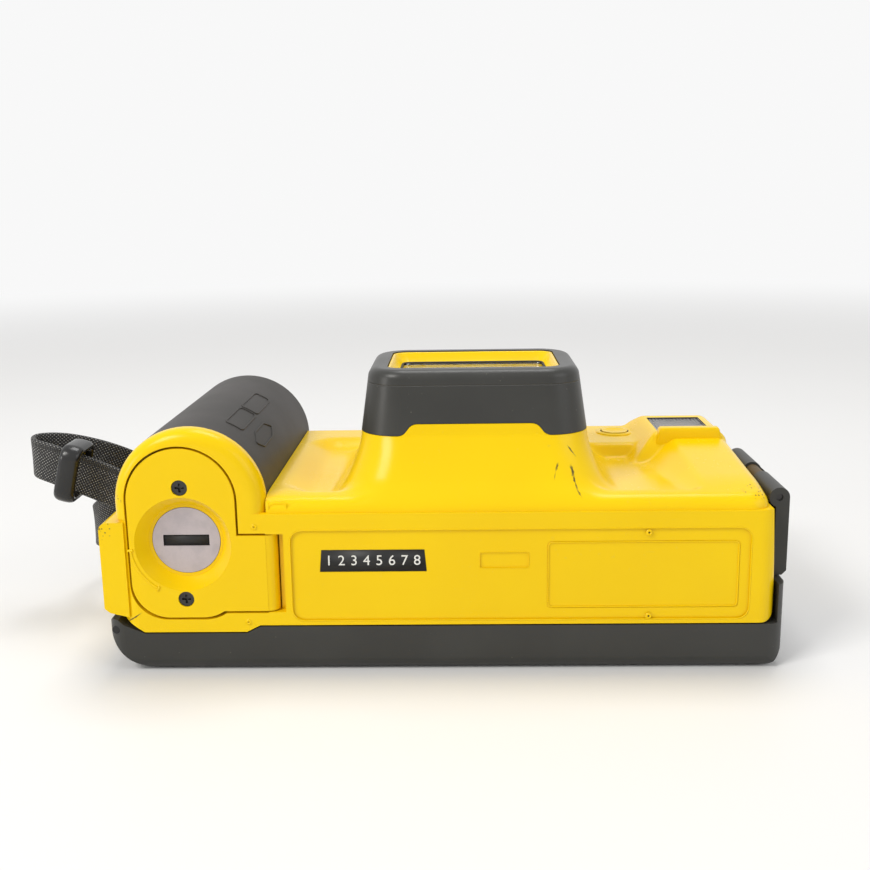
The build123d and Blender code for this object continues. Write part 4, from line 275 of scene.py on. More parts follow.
def yellow_finish(name, strokes=(), specks=(), painted_shade_spots=()):
    """Glossy yellow plastic with dust, fine scratches, its own marks and spots of painted shade.

    Strokes are (start, end, width) in x and z. Specks and painted shade spots are (centre, radius).
    """
    finish = Finish(name, IOR=1.42, Specular_IOR_Level=0.25)
    drift = finish.noise(30.0, 2).between(0.3, 0.7)
    dust = finish.noise(0.9, 4).between(0.62, 0.8) * finish.noise(12.0, 2).between(0.45, 0.7)
    lines = hairlines(finish)
    colour = finish.mix(drift * 0.3, YELLOW, DEEP_YELLOW)
    marks = dust * 0.12 + lines * 0.08
    for start, end, width in strokes:
        marks = marks.larger(scuff(finish, start, end, width) * 0.97)
    for centre, radius in specks:
        dots = 1 - finish.cells(0.9).between(0.16, 0.3)
        marks = marks.larger(dots * near_point(finish, centre, radius) * 0.8)
    # Painted shade: each of these spots darkens the yellow where shade falls, in a pit or under the latch.
    for centre, radius in painted_shade_spots:
        marks = marks.larger(near_point(finish, centre, radius))
    # Dirt, scuffs and specks, and the spots of painted shade, all darken the yellow here.
    colour = finish.mix(marks, colour, DIRT_AND_SHADE)
    orange_peel = finish.noise(1.3, 1)
    rough = 0.20 + dust * 0.3 + lines * 0.2 + finish.noise(5.0, 3) * 0.06 + marks * 0.25
    bump = finish.relief(orange_peel * 0.5 - lines * 0.6, 0.02, 0.5)
    return finish.paint(Base_Color=colour, Roughness=rough, Normal=bump)


# %% [markdown]
# The marks belong to single pieces, so the shell and the front panel each get a yellow of their
# own. Places are in millimetres in the camera's frame: strokes on the flank of the port and low
# on the shell, specks beside the door, and one spot of painted shade on the shell, under the latch.

# %% Yellow pieces
PANEL_SCUFFS = [
    ((27.8, 47.9), (29.3, 45.9), 0.24), ((25.3, 44.7), (24.8, 43.3), 0.36),
    ((24.7, 42.9), (24.5, 41.9), 0.26), ((28.2, 44.1), (28.7, 41.9), 0.56),
    ((28.6, 42.2), (29.3, 39.7), 0.36), ((29.3, 39.7), (30.0, 38.6), 0.30),
]
SHELL_SCUFFS = [((-68.9, 11.4), (-65.8, 13.5), 0.25)]
SHELL_SPECKS = [((-72.9, -36, 32.6), 2.4), ((-68.8, -36, 39.6), 1.2)]
PANEL_SPECKS = [((67.2, -31.6, 39.3), 3.4)]
# Painted shade: a dark spot on the shell under the latch, between its barrels.
LATCH_SHADE_SPOT = ((73.2, -11.0, 36.9), 6.0)

yellow = yellow_finish("yellow_plastic")
shell_yellow = yellow_finish("shell_yellow", SHELL_SCUFFS, SHELL_SPECKS, [LATCH_SHADE_SPOT])
panel_yellow = yellow_finish("panel_yellow", PANEL_SCUFFS, PANEL_SPECKS)
dress(shell_yellow, "body_shell")
dress(yellow, "battery_door", "self_timer_button")

# %% [markdown]
# ## Dark plastic and rubber
#
# The rear cover and the hood are satin, the grip is a rubbery skin and the buttons are a
# little glossier. All are charcoal, not black, so they keep their shape in shade. Dust shows
# on them more than on the yellow, as pale specks. A fine line runs round the hood, where its rim
# meets its skirt. That line is a band at one height, sunk a little and painted paler as a
# painted highlight along the seam, because a groove this thin would need many faces and show no more.

# %% Dark finishes
CHARCOAL = (0.031, 0.031, 0.028, 1)
CHARCOAL_LIGHT = (0.044, 0.044, 0.040, 1)
WARM_CHARCOAL = (0.034, 0.029, 0.026, 1)
SPECK = (0.26, 0.24, 0.20, 1)
HOOD_SEAM = 61.2


def dark_finish(name, base, lighter, rough, grain_mm, grain_depth, seam=None, gloss=0.4):
    """Moulded dark plastic with a fine grain and scattered dust, and if asked a seam at one height,
    painted paler as a highlight.
    """
    finish = Finish(name, IOR=1.48, Specular_IOR_Level=gloss)
    drift = finish.noise(22.0, 3).between(0.3, 0.75)
    speck = (1 - finish.cells(1.6).between(0.04, 0.09)) * finish.noise(4.0, 2).between(0.5, 0.66)
    colour = finish.mix(drift * 0.6, base, lighter)
    colour = finish.mix(speck * 0.5, colour, SPECK)
    grain = finish.noise(grain_mm, 2)
    roughness = rough + drift * 0.08 + speck * 0.2 - hairlines(finish) * 0.08
    bump = finish.relief(grain, grain_depth, 0.7)
    if seam:
        above = finish.node("ShaderNodeSeparateXYZ", {}, {0: finish.place}, "Z") - seam * MM
        line = 1 - above.absolute().between(0.04 * MM, 0.16 * MM)
        # Painted highlight: the seam band is mixed paler, as light catching the groove's edge.
        colour = finish.mix(line * 0.4, colour, grey(0.075))
        bump = finish.relief(grain * 0.08 - line, 0.12, 0.8)
    return finish.paint(Base_Color=colour, Roughness=roughness, Normal=bump)


# %% Dark pieces
charcoal = dark_finish("charcoal_plastic", CHARCOAL, CHARCOAL_LIGHT, 0.40, 0.35, 0.02)
hood_dark = dark_finish("hood_plastic", CHARCOAL, CHARCOAL_LIGHT, 0.34, 0.35, 0.02, seam=HOOD_SEAM)
rubber = dark_finish("grip_rubber", WARM_CHARCOAL, CHARCOAL, 0.50, 0.28, 0.03, gloss=0.3)
button_black = dark_finish("button_plastic", grey(0.022), grey(0.035), 0.30, 0.5, 0.01)
inner_black = dark_finish("inner_black", grey(0.016), grey(0.026), 0.55, 0.3, 0.03)
seal_rubber = dark_finish("seal_rubber", grey(0.012), grey(0.02), 0.5, 0.25, 0.02)
dress(charcoal, "rear_cover", "cover_latch")
dress(hood_dark, "lens_hood")
dress(rubber, "grip_cover")
dress(button_black, "main_switch", "zoom_button")
dress(inner_black, "chassis", "lens_barrel", "shutter_unit", "viewfinder_tube", "take_up_spool")
dress(inner_black, "sprocket", "rewind_fork", "strap_bar", "cover_hinge_pin")
dress(seal_rubber, "port_seal", "door_seal", "rear_cover_seal")

# %% [markdown]
# ## Metal
#
# Metals differ by how they were finished. Pins and rods are turned, so their marks run round
# them. Springs and small screws are blued, and the reflector is polished. One function makes
# them all: a noise drawn out along the tool marks moves tone and roughness together, as real
# tool marks do.

# %% Metals
def metal_finish(name, colour, darker, rough, turned=(1, 1, 1), size_mm=0.6):
    """Bare metal whose tone and roughness vary with a noise drawn out along the tool marks."""
    finish = Finish(name, Metallic=1.0)
    marks = finish.noise(size_mm, 3, turned)
    stain = finish.noise(7.0, 3).between(0.45, 0.75)
    tone = finish.mix(marks * 0.5 + stain * 0.3, colour, darker)
    roughness = rough + marks * 0.14 + stain * 0.1
    return finish.paint(Base_Color=tone, Roughness=roughness, Normal=finish.relief(marks, 0.006, 0.5))


steel = metal_finish("turned_steel", (0.62, 0.61, 0.58, 1), (0.42, 0.41, 0.39, 1), 0.24, (1, 8, 1))
blued = metal_finish("blued_steel", (0.075, 0.072, 0.07, 1), grey(0.03), 0.38)
mirror = metal_finish("reflector_metal", grey(0.90), grey(0.74), 0.10, (6, 1, 6))
dress(steel, "guide_rods", "film_motor", "door_lock_tongue", "door_hinge_pin")
dress(steel, "battery_contacts", "pressure_plate")
dress(blued, "latch_pin", "chassis_screws", "door_screws", "pressure_spring", "shutter_spring")
dress(mirror, "flash_reflector")

# %% [markdown]
# The lock disc on the battery door is blasted matt and slightly pink. It isn't quite as metallic
# as the turned parts, because the blasted skin scatters light. Fingers and coins have rubbed it,
# so a slow noise darkens it and makes it smoother, while fine pits roughen it.

# %% Lock disc
DISC_GREY = (0.52, 0.465, 0.475, 1)
DISC_SHADE = (0.40, 0.36, 0.375, 1)


def blasted_disc():
    """The lock disc: pale, faintly pink metal, blasted matt, darker where fingers and coins rubbed."""
    finish = Finish("blasted_disc", Metallic=0.85)
    pits = finish.noise(0.35, 3)
    wear = finish.noise(4.0, 3).between(0.42, 0.7)
    tone = finish.mix(wear * 0.55 + pits * 0.25, DISC_GREY, DISC_SHADE)
    roughness = 0.42 + pits * 0.16 - wear * 0.06
    return finish.paint(Base_Color=tone, Roughness=roughness, Normal=finish.relief(pits, 0.03, 0.6))


dress(blasted_disc(), "door_lock_disc")

# %% [markdown]
# ## Glass and clear plastic
#
# Panes let light through and bend it by their index: about 1.5 for clear plastic and the port,
# 1.6 for lens glass. A real pane is never quite clean, so a slow noise dulls it here and there.
# The flash window has fine ribs that spread the light. They are finer than the mesh could hold
# well, so a sine wave across the window bends the light in their place.

# %% Clear finishes
def clear_finish(name, tint, rough, ior):
    """A see-through pane with faint smears that dull it a little."""
    finish = Finish(name, Base_Color=tint, IOR=ior, Transmission_Weight=1.0)
    smear = finish.noise(3.0, 3, (1, 3, 1)).between(0.5, 0.8)
    return finish.paint(Roughness=rough + smear * 0.05)


clear = clear_finish("clear_plastic", (0.96, 0.96, 0.93, 1), 0.03, 1.49)
port_clear = clear_finish("port_clear", (0.93, 0.94, 0.93, 1), 0.02, 1.52)


def ribbed_window(rib_mm=0.9):
    """The flash window: smoky clear plastic with fine upright ribs, a sine wave across it."""
    smoke = (0.50, 0.47, 0.43, 1)
    finish = Finish("flash_prism", Base_Color=smoke, IOR=1.49, Transmission_Weight=1.0)
    across = finish.node("ShaderNodeSeparateXYZ", {}, {0: finish.place}, "X") * (2 * pi / (rib_mm * MM))
    ribs = across.sine()
    roughness = 0.06 + finish.noise(3.0, 3) * 0.06
    return finish.paint(Roughness=roughness, Normal=finish.relief(ribs, 0.08, 0.8))


flash_prism = ribbed_window()
lens_glass = clear_finish("lens_glass", (0.80, 0.84, 0.92, 1), 0.01, 1.6)
dress(clear, "viewfinder_window", "viewfinder_eyepiece", "viewfinder_objective")
dress(clear, "autofocus_windows", "counter_window", "flash_tube")
dress(flash_prism, "flash_window")
dress(lens_glass, "front_lens", "rear_lens")

# %% [markdown]
# ## The works
#
# Gears, board, battery and capacitor show when the rear cover or the battery door is open. They
# are small and half in shade, so a slow drift of tone and a fine grain are enough. The shutter
# button is made the same way: a smooth orange plastic.

# %% Works
def plain_plastic(name, colour, shade, rough=0.45):
    """Simple moulded plastic with a slow drift of tone and a fine grain."""
    finish = Finish(name, IOR=1.5)
    drift = finish.noise(6.0, 3)
    grain = finish.noise(0.4, 2)
    tone = finish.mix(drift, colour, shade)
    roughness = rough + grain * 0.12
    return finish.paint(Base_Color=tone, Roughness=roughness, Normal=finish.relief(grain, 0.01, 0.5))


gear_white = plain_plastic("gear_plastic", (0.74, 0.72, 0.66, 1), (0.62, 0.60, 0.54, 1))
board_green = plain_plastic("board_green", (0.03, 0.15, 0.06, 1), (0.02, 0.10, 0.045, 1), 0.35)
battery_wrap = plain_plastic("battery_wrap", (0.05, 0.10, 0.16, 1), (0.035, 0.07, 0.11, 1), 0.32)
capacitor_wrap = plain_plastic("capacitor_wrap", (0.02, 0.02, 0.028, 1), (0.035, 0.035, 0.04, 1), 0.3)
orange = plain_plastic("button_orange", (0.72, 0.11, 0.02, 1), (0.60, 0.085, 0.015, 1), 0.28)
dress(gear_white, "transport_gear_1", "transport_gear_2", "transport_gear_3", "counter_dial")
dress(board_green, "circuit_board")
dress(battery_wrap, "battery")
dress(capacitor_wrap, "flash_capacitor")
dress(orange, "shutter_button")

# %% [markdown]
# ## From numbers to a mesh
#
# A shape is worked out as a whole array of points on a grid: one direction runs round or along
# the piece, the other across it. The faces join neighbours in that grid, so one helper makes
# them for every piece below. Blender could also build shapes one click at a time from boxes and
# cylinders, but a formula says exactly where the surface runs and is easy to change.

# %% Grid helpers
def grid_faces(rows, columns, round_rows=False, round_columns=False):
    """Four-sided faces between neighbours of a rows x columns grid, closed round where asked."""
    ids = np.arange(rows * columns).reshape(rows, columns)
    if round_rows:
        ids = np.vstack([ids, ids[:1]])
    if round_columns:
        ids = np.hstack([ids, ids[:, :1]])
    faces = np.stack([ids[:-1, :-1], ids[1:, :-1], ids[1:, 1:], ids[:-1, 1:]], axis=-1)
    return faces.reshape(-1, 4).tolist()


def end_faces(rows, columns, turned=False):
    """The two many-sided faces that close a tube of rows x columns points, turned round if asked."""
    first = list(range(columns))
    last = list(range((rows - 1) * columns, rows * columns))
    return [first[::-1], last] if turned else [first, last[::-1]]


def unit(vectors):
    """Each vector divided by its own length."""
    return vectors / np.linalg.norm(vectors, axis=1)[:, None]


def run_along(line):
    """How far each point lies along a line: 0, and then the sum of the steps up to it."""
    return np.concatenate([[0], np.cumsum(np.linalg.norm(np.diff(line, axis=0), axis=1))])


def make_piece(name, points, faces, material, body="camera_body", flip=False):
    """A mesh piece from points in mm. It rides on a CAD body and takes its slot from its finish."""
    mesh = bpy.data.meshes.new(name)
    if flip:
        faces = [face[::-1] for face in faces]
    mesh.from_pydata((np.asarray(points, float).reshape(-1, 3) * MM).tolist(), [], faces)
    mesh.validate()
    mesh.polygons.foreach_set("use_smooth", np.ones(len(mesh.polygons), bool))
    mesh.materials.append(material)
    piece = bpy.data.objects.new(name, mesh)
    bpy.context.collection.objects.link(piece)
    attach(piece, body)
    print(name, len(mesh.vertices), "points")
    return piece


# %% Distances and blends
def smooth_step(value, low, high):
    """0 below low, 1 above high, with level ends: 3t^2 - 2t^3."""
    t = np.clip((value - low) / (high - low), 0, 1)
    return t * t * (3 - 2 * t)


def soft_max(first, second, width):
    """The larger of two heights, rounded over where they are within width of each other."""
    share = np.clip(0.5 + 0.5 * (first - second) / width, 0, 1)
    return second + (first - second) * share + width * share * (1 - share)


def soft_min(first, second, width):
    """The smaller of two heights, rounded in the same way as soft_max."""
    return -soft_max(-first, -second, width)


def box_distance(x, y, half_x, half_y, corner):
    """Signed distance to a rounded rectangle about 0, 0: negative inside."""
    reach_x = np.abs(x) - half_x + corner
    reach_y = np.abs(y) - half_y + corner
    outside = np.hypot(np.maximum(reach_x, 0), np.maximum(reach_y, 0))
    return outside + np.minimum(np.maximum(reach_x, reach_y), 0) - corner


# %% [markdown]
# ## The front panel
#
# The yellow front is the hardest form of the camera. A plate with soft edges carries two wide
# pockets, a ramp up to the flash, and the flared foot of the lens port, and all of them run
# into each other without an edge. In CAD these are separate blocks with hard seams. Here the
# whole front is one height above the film side for each point of its outline, so neighbours
# blend where their heights are close. The points lie on rays from the lens axis, because rays
# and rings follow both the port and the rim, and a square grid would cut steps into them.

# %% The hood's edge
LENS_X, LENS_Y = 7.4, -6.6
PANEL_LEFT, PANEL_RIGHT, PANEL_HALF, PANEL_CORNER = -37.6, 70.2, 35.5, 4.0
GRIP_CORNER = 0.8
PANEL_BASE, PANEL_TOP, PANEL_EDGE = 35.8, 39.3, 2.9
TURRET_TOP, NOTCH_TOP = 50.4, 53.0
NOTCH_FLAT, NOTCH_RUN = 12.5, 4.4
HOOD_GAP = 0.12


def hood_line(x):
    """Height of the hood's lower edge: two arcs make an S from the corners up to the notch."""
    aside = np.abs(x - LENS_X)
    rise, run = NOTCH_TOP - TURRET_TOP, NOTCH_RUN
    arc = (run**2 + rise**2) / (4 * rise)
    foot = np.clip(NOTCH_FLAT + run - aside, 0, run / 2)
    crest = np.clip(aside - NOTCH_FLAT, 0, run / 2)
    lower = TURRET_TOP + arc - np.sqrt(arc**2 - foot**2)
    upper = NOTCH_TOP - arc + np.sqrt(arc**2 - crest**2)
    return np.where(aside > NOTCH_FLAT + run / 2, lower, upper)


print("hood edge", hood_line(np.array([LENS_X, LENS_X + 20])), "mm high, middle and corner")

# %% The turret's outline
TURRET_HALF_X, TURRET_HALF_Y, TURRET_TAPER = 25.4, 19.4, 0.142
FLARE_HEIGHT, FLARE_X, FLARE_Y = 14.1, 6.0, 9.3


def turret_distance(x, y, z):
    """Signed distance to the turret's outline at height z. It flares like a trumpet to its foot.

    The half sizes grow with powers of the drop below the turret's top, slowly at first and then
    faster, and above the top they lean in by a straight taper.
    """
    drop = np.maximum(TURRET_TOP - z, 0) / FLARE_HEIGHT
    lean = TURRET_TAPER * np.maximum(z - TURRET_TOP, 0)
    half_x = TURRET_HALF_X + FLARE_X * drop**1.8 - lean
    half_y = TURRET_HALF_Y + FLARE_Y * drop**1.05 - lean
    return box_distance(x - LENS_X, y - LENS_Y, half_x, half_y, 9 + 2 * drop)


def solve_height(x, y, low=28.0, high=53.2, steps=26):
    """The height at which the turret's outline passes through each point, by halving."""
    low, high = np.full(x.shape, low), np.full(x.shape, high)
    for _ in range(steps):
        middle = (low + high) / 2
        inside = turret_distance(x, y, middle) < 0
        low, high = np.where(inside, middle, low), np.where(inside, high, middle)
    return (low + high) / 2


# %% [markdown]
# The pockets, the ramp and the flash are each a simple height: a flat, a slope or a smooth step.
# The larger of two heights joins forms, the smaller cuts one with another, and both are taken
# softly, so that the seams come out rounded by a chosen width, as the mould rounds them.

# %% Heights of the front
GRIP_POCKET = {"left": -35.9, "right": -9.0, "near": -31.2, "far": 24.5, "edge": 7.5, "corner": 9.0}
RAMP_POCKET = {"left": 30.0, "right": 62.0, "near": -31.4, "far": 12.0, "edge": 3.0, "corner": 5.0}
GRIP_POCKET_DEPTH, RAMP_POCKET_DEPTH, RAMP_POCKET_FALL = 2.4, 1.2, 1.6
TOP_STEP = 0.5
RAMP_LOW, RAMP_RISE, RAMP_FOOT, RAMP_SLOPE = 39.7, 2.7, 56.8, 0.78
NEAR_HEIGHT, NEAR_SLOPE = 38.75, 0.19
FLASH_TOP, FLASH_LEFT, FLASH_NEAR, FLASH_FAR = 43.6, 52.4, 6.9, 28.5


def hollow(x, y, left, right, near, far, edge, corner):
    """1 inside a rounded box, 0 outside, with walls that take edge mm to go down."""
    half_x, half_y = (right - left) / 2, (far - near) / 2
    distance = box_distance(x - left - half_x, y - near - half_y, half_x, half_y, corner)
    return smooth_step(-distance, 0, edge)


def front_height(x, y):
    """Height of the front: the plate less its pockets, then the ramp, the flash and the turret."""
    plate = PANEL_TOP + TOP_STEP * smooth_step(y, 9.5, 13) * smooth_step(x, 28, 36)
    plate = plate - GRIP_POCKET_DEPTH * hollow(x, y, **GRIP_POCKET)
    ramp_depth = RAMP_POCKET_DEPTH + RAMP_POCKET_FALL * np.clip((y + 31) / 40, 0, 1)
    plate = plate - ramp_depth * hollow(x, y, **RAMP_POCKET)
    crest = RAMP_LOW + RAMP_RISE * np.clip((y + 32) / 37, 0, 1)
    ramp = crest - RAMP_SLOPE * (RAMP_FOOT - x)
    front = soft_max(plate, soft_min(crest, ramp, 0.7), 1.6)
    front = soft_min(front, NEAR_HEIGHT + NEAR_SLOPE * (y + 33.5), 0.5)
    flash = soft_min(FLASH_TOP - 1.1 * (FLASH_LEFT - x), FLASH_TOP + 0 * x, 0.9)
    flash = soft_min(flash, FLASH_TOP - 0.52 * (y - FLASH_FAR), 0.9)
    flash = soft_min(flash, FLASH_TOP - 1.3 * (FLASH_NEAR - y), 0.7)
    front = soft_max(front, flash, 1.0)
    return soft_max(front, solve_height(x, y), 3.2)


middle = front_height(np.array([-22.0, 46.0, 60.0]), np.array([-10.0, -12.0, 16.0]))
print("left pocket, right pocket, flash:", middle.round(1), "mm high")

# %% [markdown]
# The rings need a start and an end on every ray. The end is the panel's rim. The start is where
# the ray meets the turret just under the hood's edge. That edge rises and falls round the lens,
# and the turret is wider where it is lower, so height and distance are worked out in turns until
# they agree. Rings lie close where the surface bends, on the flare and at the rounded rim.

# %% Outline and rays
def plan_distance(x, y, left):
    """Signed distance to the panel's outline, whose left corners, at the grip, are nearly sharp."""
    middle = (left + PANEL_RIGHT) / 2
    corner = np.where(x < middle, GRIP_CORNER, PANEL_CORNER)
    return box_distance(x - middle, y, (PANEL_RIGHT - left) / 2, PANEL_HALF, corner)


def even_outline(count):
    """Points evenly spread along the panel's outline: sides and quarter circles laid end to end."""
    turn = np.linspace(0, pi / 2, 9)
    arc = np.stack([np.cos(turn), np.sin(turn)], axis=1)
    middle = np.array([(PANEL_LEFT + PANEL_RIGHT) / 2, 0.0])
    half = np.array([(PANEL_RIGHT - PANEL_LEFT) / 2, PANEL_HALF])
    loop = []
    for side_x, side_y in ((1, 1), (-1, 1), (-1, -1), (1, -1)):
        radius = PANEL_CORNER if side_x > 0 else GRIP_CORNER
        quarter = (arc[:: side_x * side_y] * radius + half - radius) * (side_x, side_y)
        loop.append(quarter + middle)
    loop = np.vstack(loop + [loop[0][:1]])
    run = run_along(loop)
    place = np.linspace(0, run[-1], count, endpoint=False)
    return np.stack([np.interp(place, run, loop[:, 0]), np.interp(place, run, loop[:, 1])], axis=1)


def ray_length(aim, level, high=60.0, steps=40):
    """Distance from the lens axis along each aim to the turret's outline at the given heights."""
    low, high = np.zeros(len(aim)), np.full(len(aim), high)
    for _ in range(steps):
        middle = (low + high) / 2
        x, y = LENS_X + aim[:, 0] * middle, LENS_Y + aim[:, 1] * middle
        inside = turret_distance(x, y, level) < 0
        low, high = np.where(inside, middle, low), np.where(inside, high, middle)
    return low


# %% Rings of the front
CAP_RINGS, STEEP_RINGS, FLAT_RINGS, BEND_RINGS = 12, 25, 57, 9
FLANK_RUN = 3.6


def front_rings(count=480):
    """Rings of points from the lens axis out to the rim and down to the seam, as one array.

    Along a ray the rings take three runs: steep, down the turret's flank; flat, over the front;
    and bend, round the rim, where the height falls along a quarter circle.
    """
    rim = even_outline(count)
    lens = np.array([LENS_X, LENS_Y])
    outer = np.linalg.norm(rim - lens, axis=1)
    aim = (rim - lens) / outer[:, None]
    level = np.full(count, TURRET_TOP)
    for _ in range(12):
        inner = ray_length(aim, level)
        level = hood_line(LENS_X + aim[:, 0] * inner) - HOOD_GAP
    run = outer - inner
    flank = np.minimum(FLANK_RUN, 0.36 * run)
    edge = np.minimum(PANEL_EDGE, 0.3 * run)
    steep = np.linspace(0, 1, STEEP_RINGS) ** 1.4
    flat = np.linspace(0, 1, FLAT_RINGS + 1)[1:]
    bend = np.sin(np.linspace(0, pi / 2, BEND_RINGS + 1))[1:]
    reach = np.concatenate([
        steep[:, None] * flank,
        flank + flat[:, None] * (run - flank - edge),
        run - edge + bend[:, None] * edge,
    ]) + inner
    x, y = lens[0] + reach * aim[:, 0], lens[1] + reach * aim[:, 1]
    inset = np.clip(-plan_distance(x, y, PANEL_LEFT - 20), 0, PANEL_EDGE)
    drop = PANEL_EDGE - np.sqrt(PANEL_EDGE**2 - (PANEL_EDGE - inset) ** 2)
    z = front_height(x, y) - drop
    z[0] = level
    share = np.linspace(0.04, 0.97, CAP_RINGS)[:, None]
    cap_x, cap_y = lens[0] + share * inner * aim[:, 0], lens[1] + share * inner * aim[:, 1]
    cap_z = hood_line(cap_x) - HOOD_GAP
    foot = np.stack([rim[:, 0], rim[:, 1], np.full(count, PANEL_BASE)], axis=1)[None]
    cap = np.stack([cap_x, cap_y, cap_z], axis=2)
    return np.concatenate([cap, np.stack([x, y, z], axis=2), foot])


rings = front_rings()
print("front rings", rings.shape, "top", round(float(rings[..., 2].max()), 1), "mm")

# %% [markdown]
# Openings are cut with closed prisms. One prism is a stack of rounded rectangles, each with its
# own height, so a stepped bore for a window and its seat is a single prism. The faces of a
# cutter carry the second material, and the cut takes it over: that is how the tunnels get
# their black inside.

# %% Stacked prisms
def ring_of(centre, half_x, half_y, corner, z, count=12):
    """One rounded rectangle at height z: four quarter circles, joined by straight sides."""
    turn = np.linspace(0, pi / 2, count)
    arc = np.stack([np.cos(turn), np.sin(turn)], axis=1) * corner
    reach = np.array([half_x, half_y]) - corner
    loop = np.vstack([
        arc + reach, arc[::-1] * (-1, 1) + reach * (-1, 1),
        -arc - reach, arc[::-1] * (1, -1) + reach * (1, -1),
    ])
    return np.column_stack([loop + centre, np.full(len(loop), z)])


def stack(centre, levels):
    """Closed prism through the levels, each (half_x, half_y, corner, z) from the lowest up."""
    rows = np.stack([ring_of(centre, *level) for level in levels])
    columns = rows.shape[1]
    faces = grid_faces(len(levels), columns, round_columns=True)
    faces = [face[::-1] for face in faces] + end_faces(len(levels), columns, turned=True)
    return rows.reshape(-1, 3), faces


def joined(parts):
    """Several separate closed meshes as one list of points and faces."""
    points, faces, start = [], [], 0
    for part_points, part_faces in parts:
        points.append(part_points)
        faces += [[index + start for index in face] for face in part_faces]
        start += len(part_points)
    return np.vstack(points), faces


# %% Joining and cutting
def plain_mesh(name, points, faces, materials, index=0):
    """A bare object for a Boolean, with all faces on one material slot."""
    mesh = bpy.data.meshes.new(name)
    mesh.from_pydata((np.asarray(points) * MM).tolist(), [], faces)
    for material in materials:
        mesh.materials.append(material)
    mesh.polygons.foreach_set("material_index", np.full(len(mesh.polygons), index))
    tool = bpy.data.objects.new(name, mesh)
    bpy.context.collection.objects.link(tool)
    return tool


def carve(piece, tool, operation):
    """Joins a tool to a piece or cuts it out, and removes the tool."""
    step = piece.modifiers.new(operation.lower(), "BOOLEAN")
    step.operation = operation
    step.solver = "EXACT"
    step.object = tool
    graph = bpy.context.evaluated_depsgraph_get()
    result = bpy.data.meshes.new_from_object(piece.evaluated_get(graph))
    piece.modifiers.clear()
    piece.data = result
    bpy.data.objects.remove(tool)
    print(piece.name, operation.lower(), len(result.polygons), "faces")


# %% [markdown]
# The rings are closed at the lens axis and at the seam, which makes the panel a solid. Four
# raised forms with crisp edges are joined to it: the hump of the viewfinder, the button's boss,
# the neck under the hood and the bar beside the flash. Then the openings are cut for the lens,
# the viewfinder, the two focus windows, the flash and the self-timer button.

# %% Front panel, closed
LENS_PLACE, TIMER_PLACE = (LENS_X, LENS_Y), (45.0, 25.0)
FINDER_PLACE, HUMP_PLACE, FOCUS_ASIDE = (LENS_X, 26.9), (LENS_X, 26.8), 16.2
FLASH_PLACE, FLASH_BAR_PLACE = (60.0, 16.6), (60.7, 6.55)
ring_rows, ring_count = rings.shape[:2]
centre_face, seam_face = end_faces(ring_rows, ring_count)
front_faces = [centre_face, *grid_faces(ring_rows, ring_count, round_columns=True), seam_face]
panel_finishes = [panel_yellow, inner_black]
front = plain_mesh("front_panel_moulding", rings.reshape(-1, 3), front_faces, panel_finishes)
print("closed with", len(front_faces), "faces")

# %% Raised forms
hump = [
    (22.6, 8.7, 2.5, 36.2), (20.3, 8.7, 2.5, 47.5), (20.0, 8.7, 2.5, 48.8), (19.7, 8.4, 2.4, 49.5),
    (19.2, 7.9, 2.2, 50.0),
]
boss = [
    (5.0, 5.0, 4.99, 36.2), (5.0, 5.0, 4.99, 39.7), (4.9, 4.9, 4.89, 40.0), (4.6, 4.6, 4.59, 40.15),
]
neck = [(21.2, 15.2, 4.0, 48.0), (21.2, 15.2, 4.0, 60.0)]
flash_bar = [
    (8.4, 1.75, 0.5, 40.8), (7.6, 1.6, 0.5, 43.6), (7.4, 1.5, 0.5, 44.4), (7.1, 1.25, 0.4, 44.85),
    (6.7, 1.0, 0.3, 44.95),
]
raised = joined([
    stack(HUMP_PLACE, hump), stack(TIMER_PLACE, boss), stack(LENS_PLACE, neck),
    stack(FLASH_BAR_PLACE, flash_bar),
])
carve(front, plain_mesh("raised", *raised, panel_finishes), "UNION")

# %% Openings
port = [
    (21.5, 18.5, 5.0, 34.0), (19.0, 13.0, 3.0, 50.4), (16.9, 11.0, 2.0, 50.41), (16.9, 11.0, 2.0, 56.8),
    (19.8, 13.8, 2.5, 56.81), (19.8, 13.8, 2.5, 62.0),
]
finder = [
    (12.1, 5.4, 0.4, 34.0), (12.1, 5.4, 0.4, 48.4), (13.2, 6.5, 0.4, 48.41), (13.2, 6.5, 0.4, 52.0),
]
focus = [
    (1.4, 1.4, 1.39, 44.0), (1.4, 1.4, 1.39, 48.4), (2.0, 2.0, 1.99, 48.41), (2.0, 2.0, 1.99, 52.0),
]
flash = [
    (5.9, 7.4, 0.4, 34.0), (5.9, 7.4, 0.4, 42.0), (6.7, 8.2, 0.4, 42.01), (6.7, 8.2, 0.4, 46.0),
]
timer = [(3.7, 3.7, 3.69, 34.0), (3.7, 3.7, 3.69, 42.0)]
openings = joined([
    stack(LENS_PLACE, port), stack(FINDER_PLACE, finder),
    stack((LENS_X - FOCUS_ASIDE, FINDER_PLACE[1]), focus),
    stack((LENS_X + FOCUS_ASIDE, FINDER_PLACE[1]), focus),
    stack(FLASH_PLACE, flash), stack(TIMER_PLACE, timer),
])
carve(front, plain_mesh("openings", *openings, panel_finishes, 1), "DIFFERENCE")
front.data.polygons.foreach_set("use_smooth", np.ones(len(front.data.polygons), bool))
front.data.set_sharp_from_angle(angle=radians(32))
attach(front, "camera_body")
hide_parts("front_panel")

# %% [markdown]
# ## Raised lines, the number plate and the small marks
#
# Thin raised lines frame the label's place, mark the sweep of the lock and show on the grip.
# Each is a thin tube, sunk by half in what carries it. The tube is a circle carried along the
# line, its two cross directions worked out from the line and a fixed up direction. Text or a
# picture on the surface would be quicker, but a real ridge catches the light at its rim.

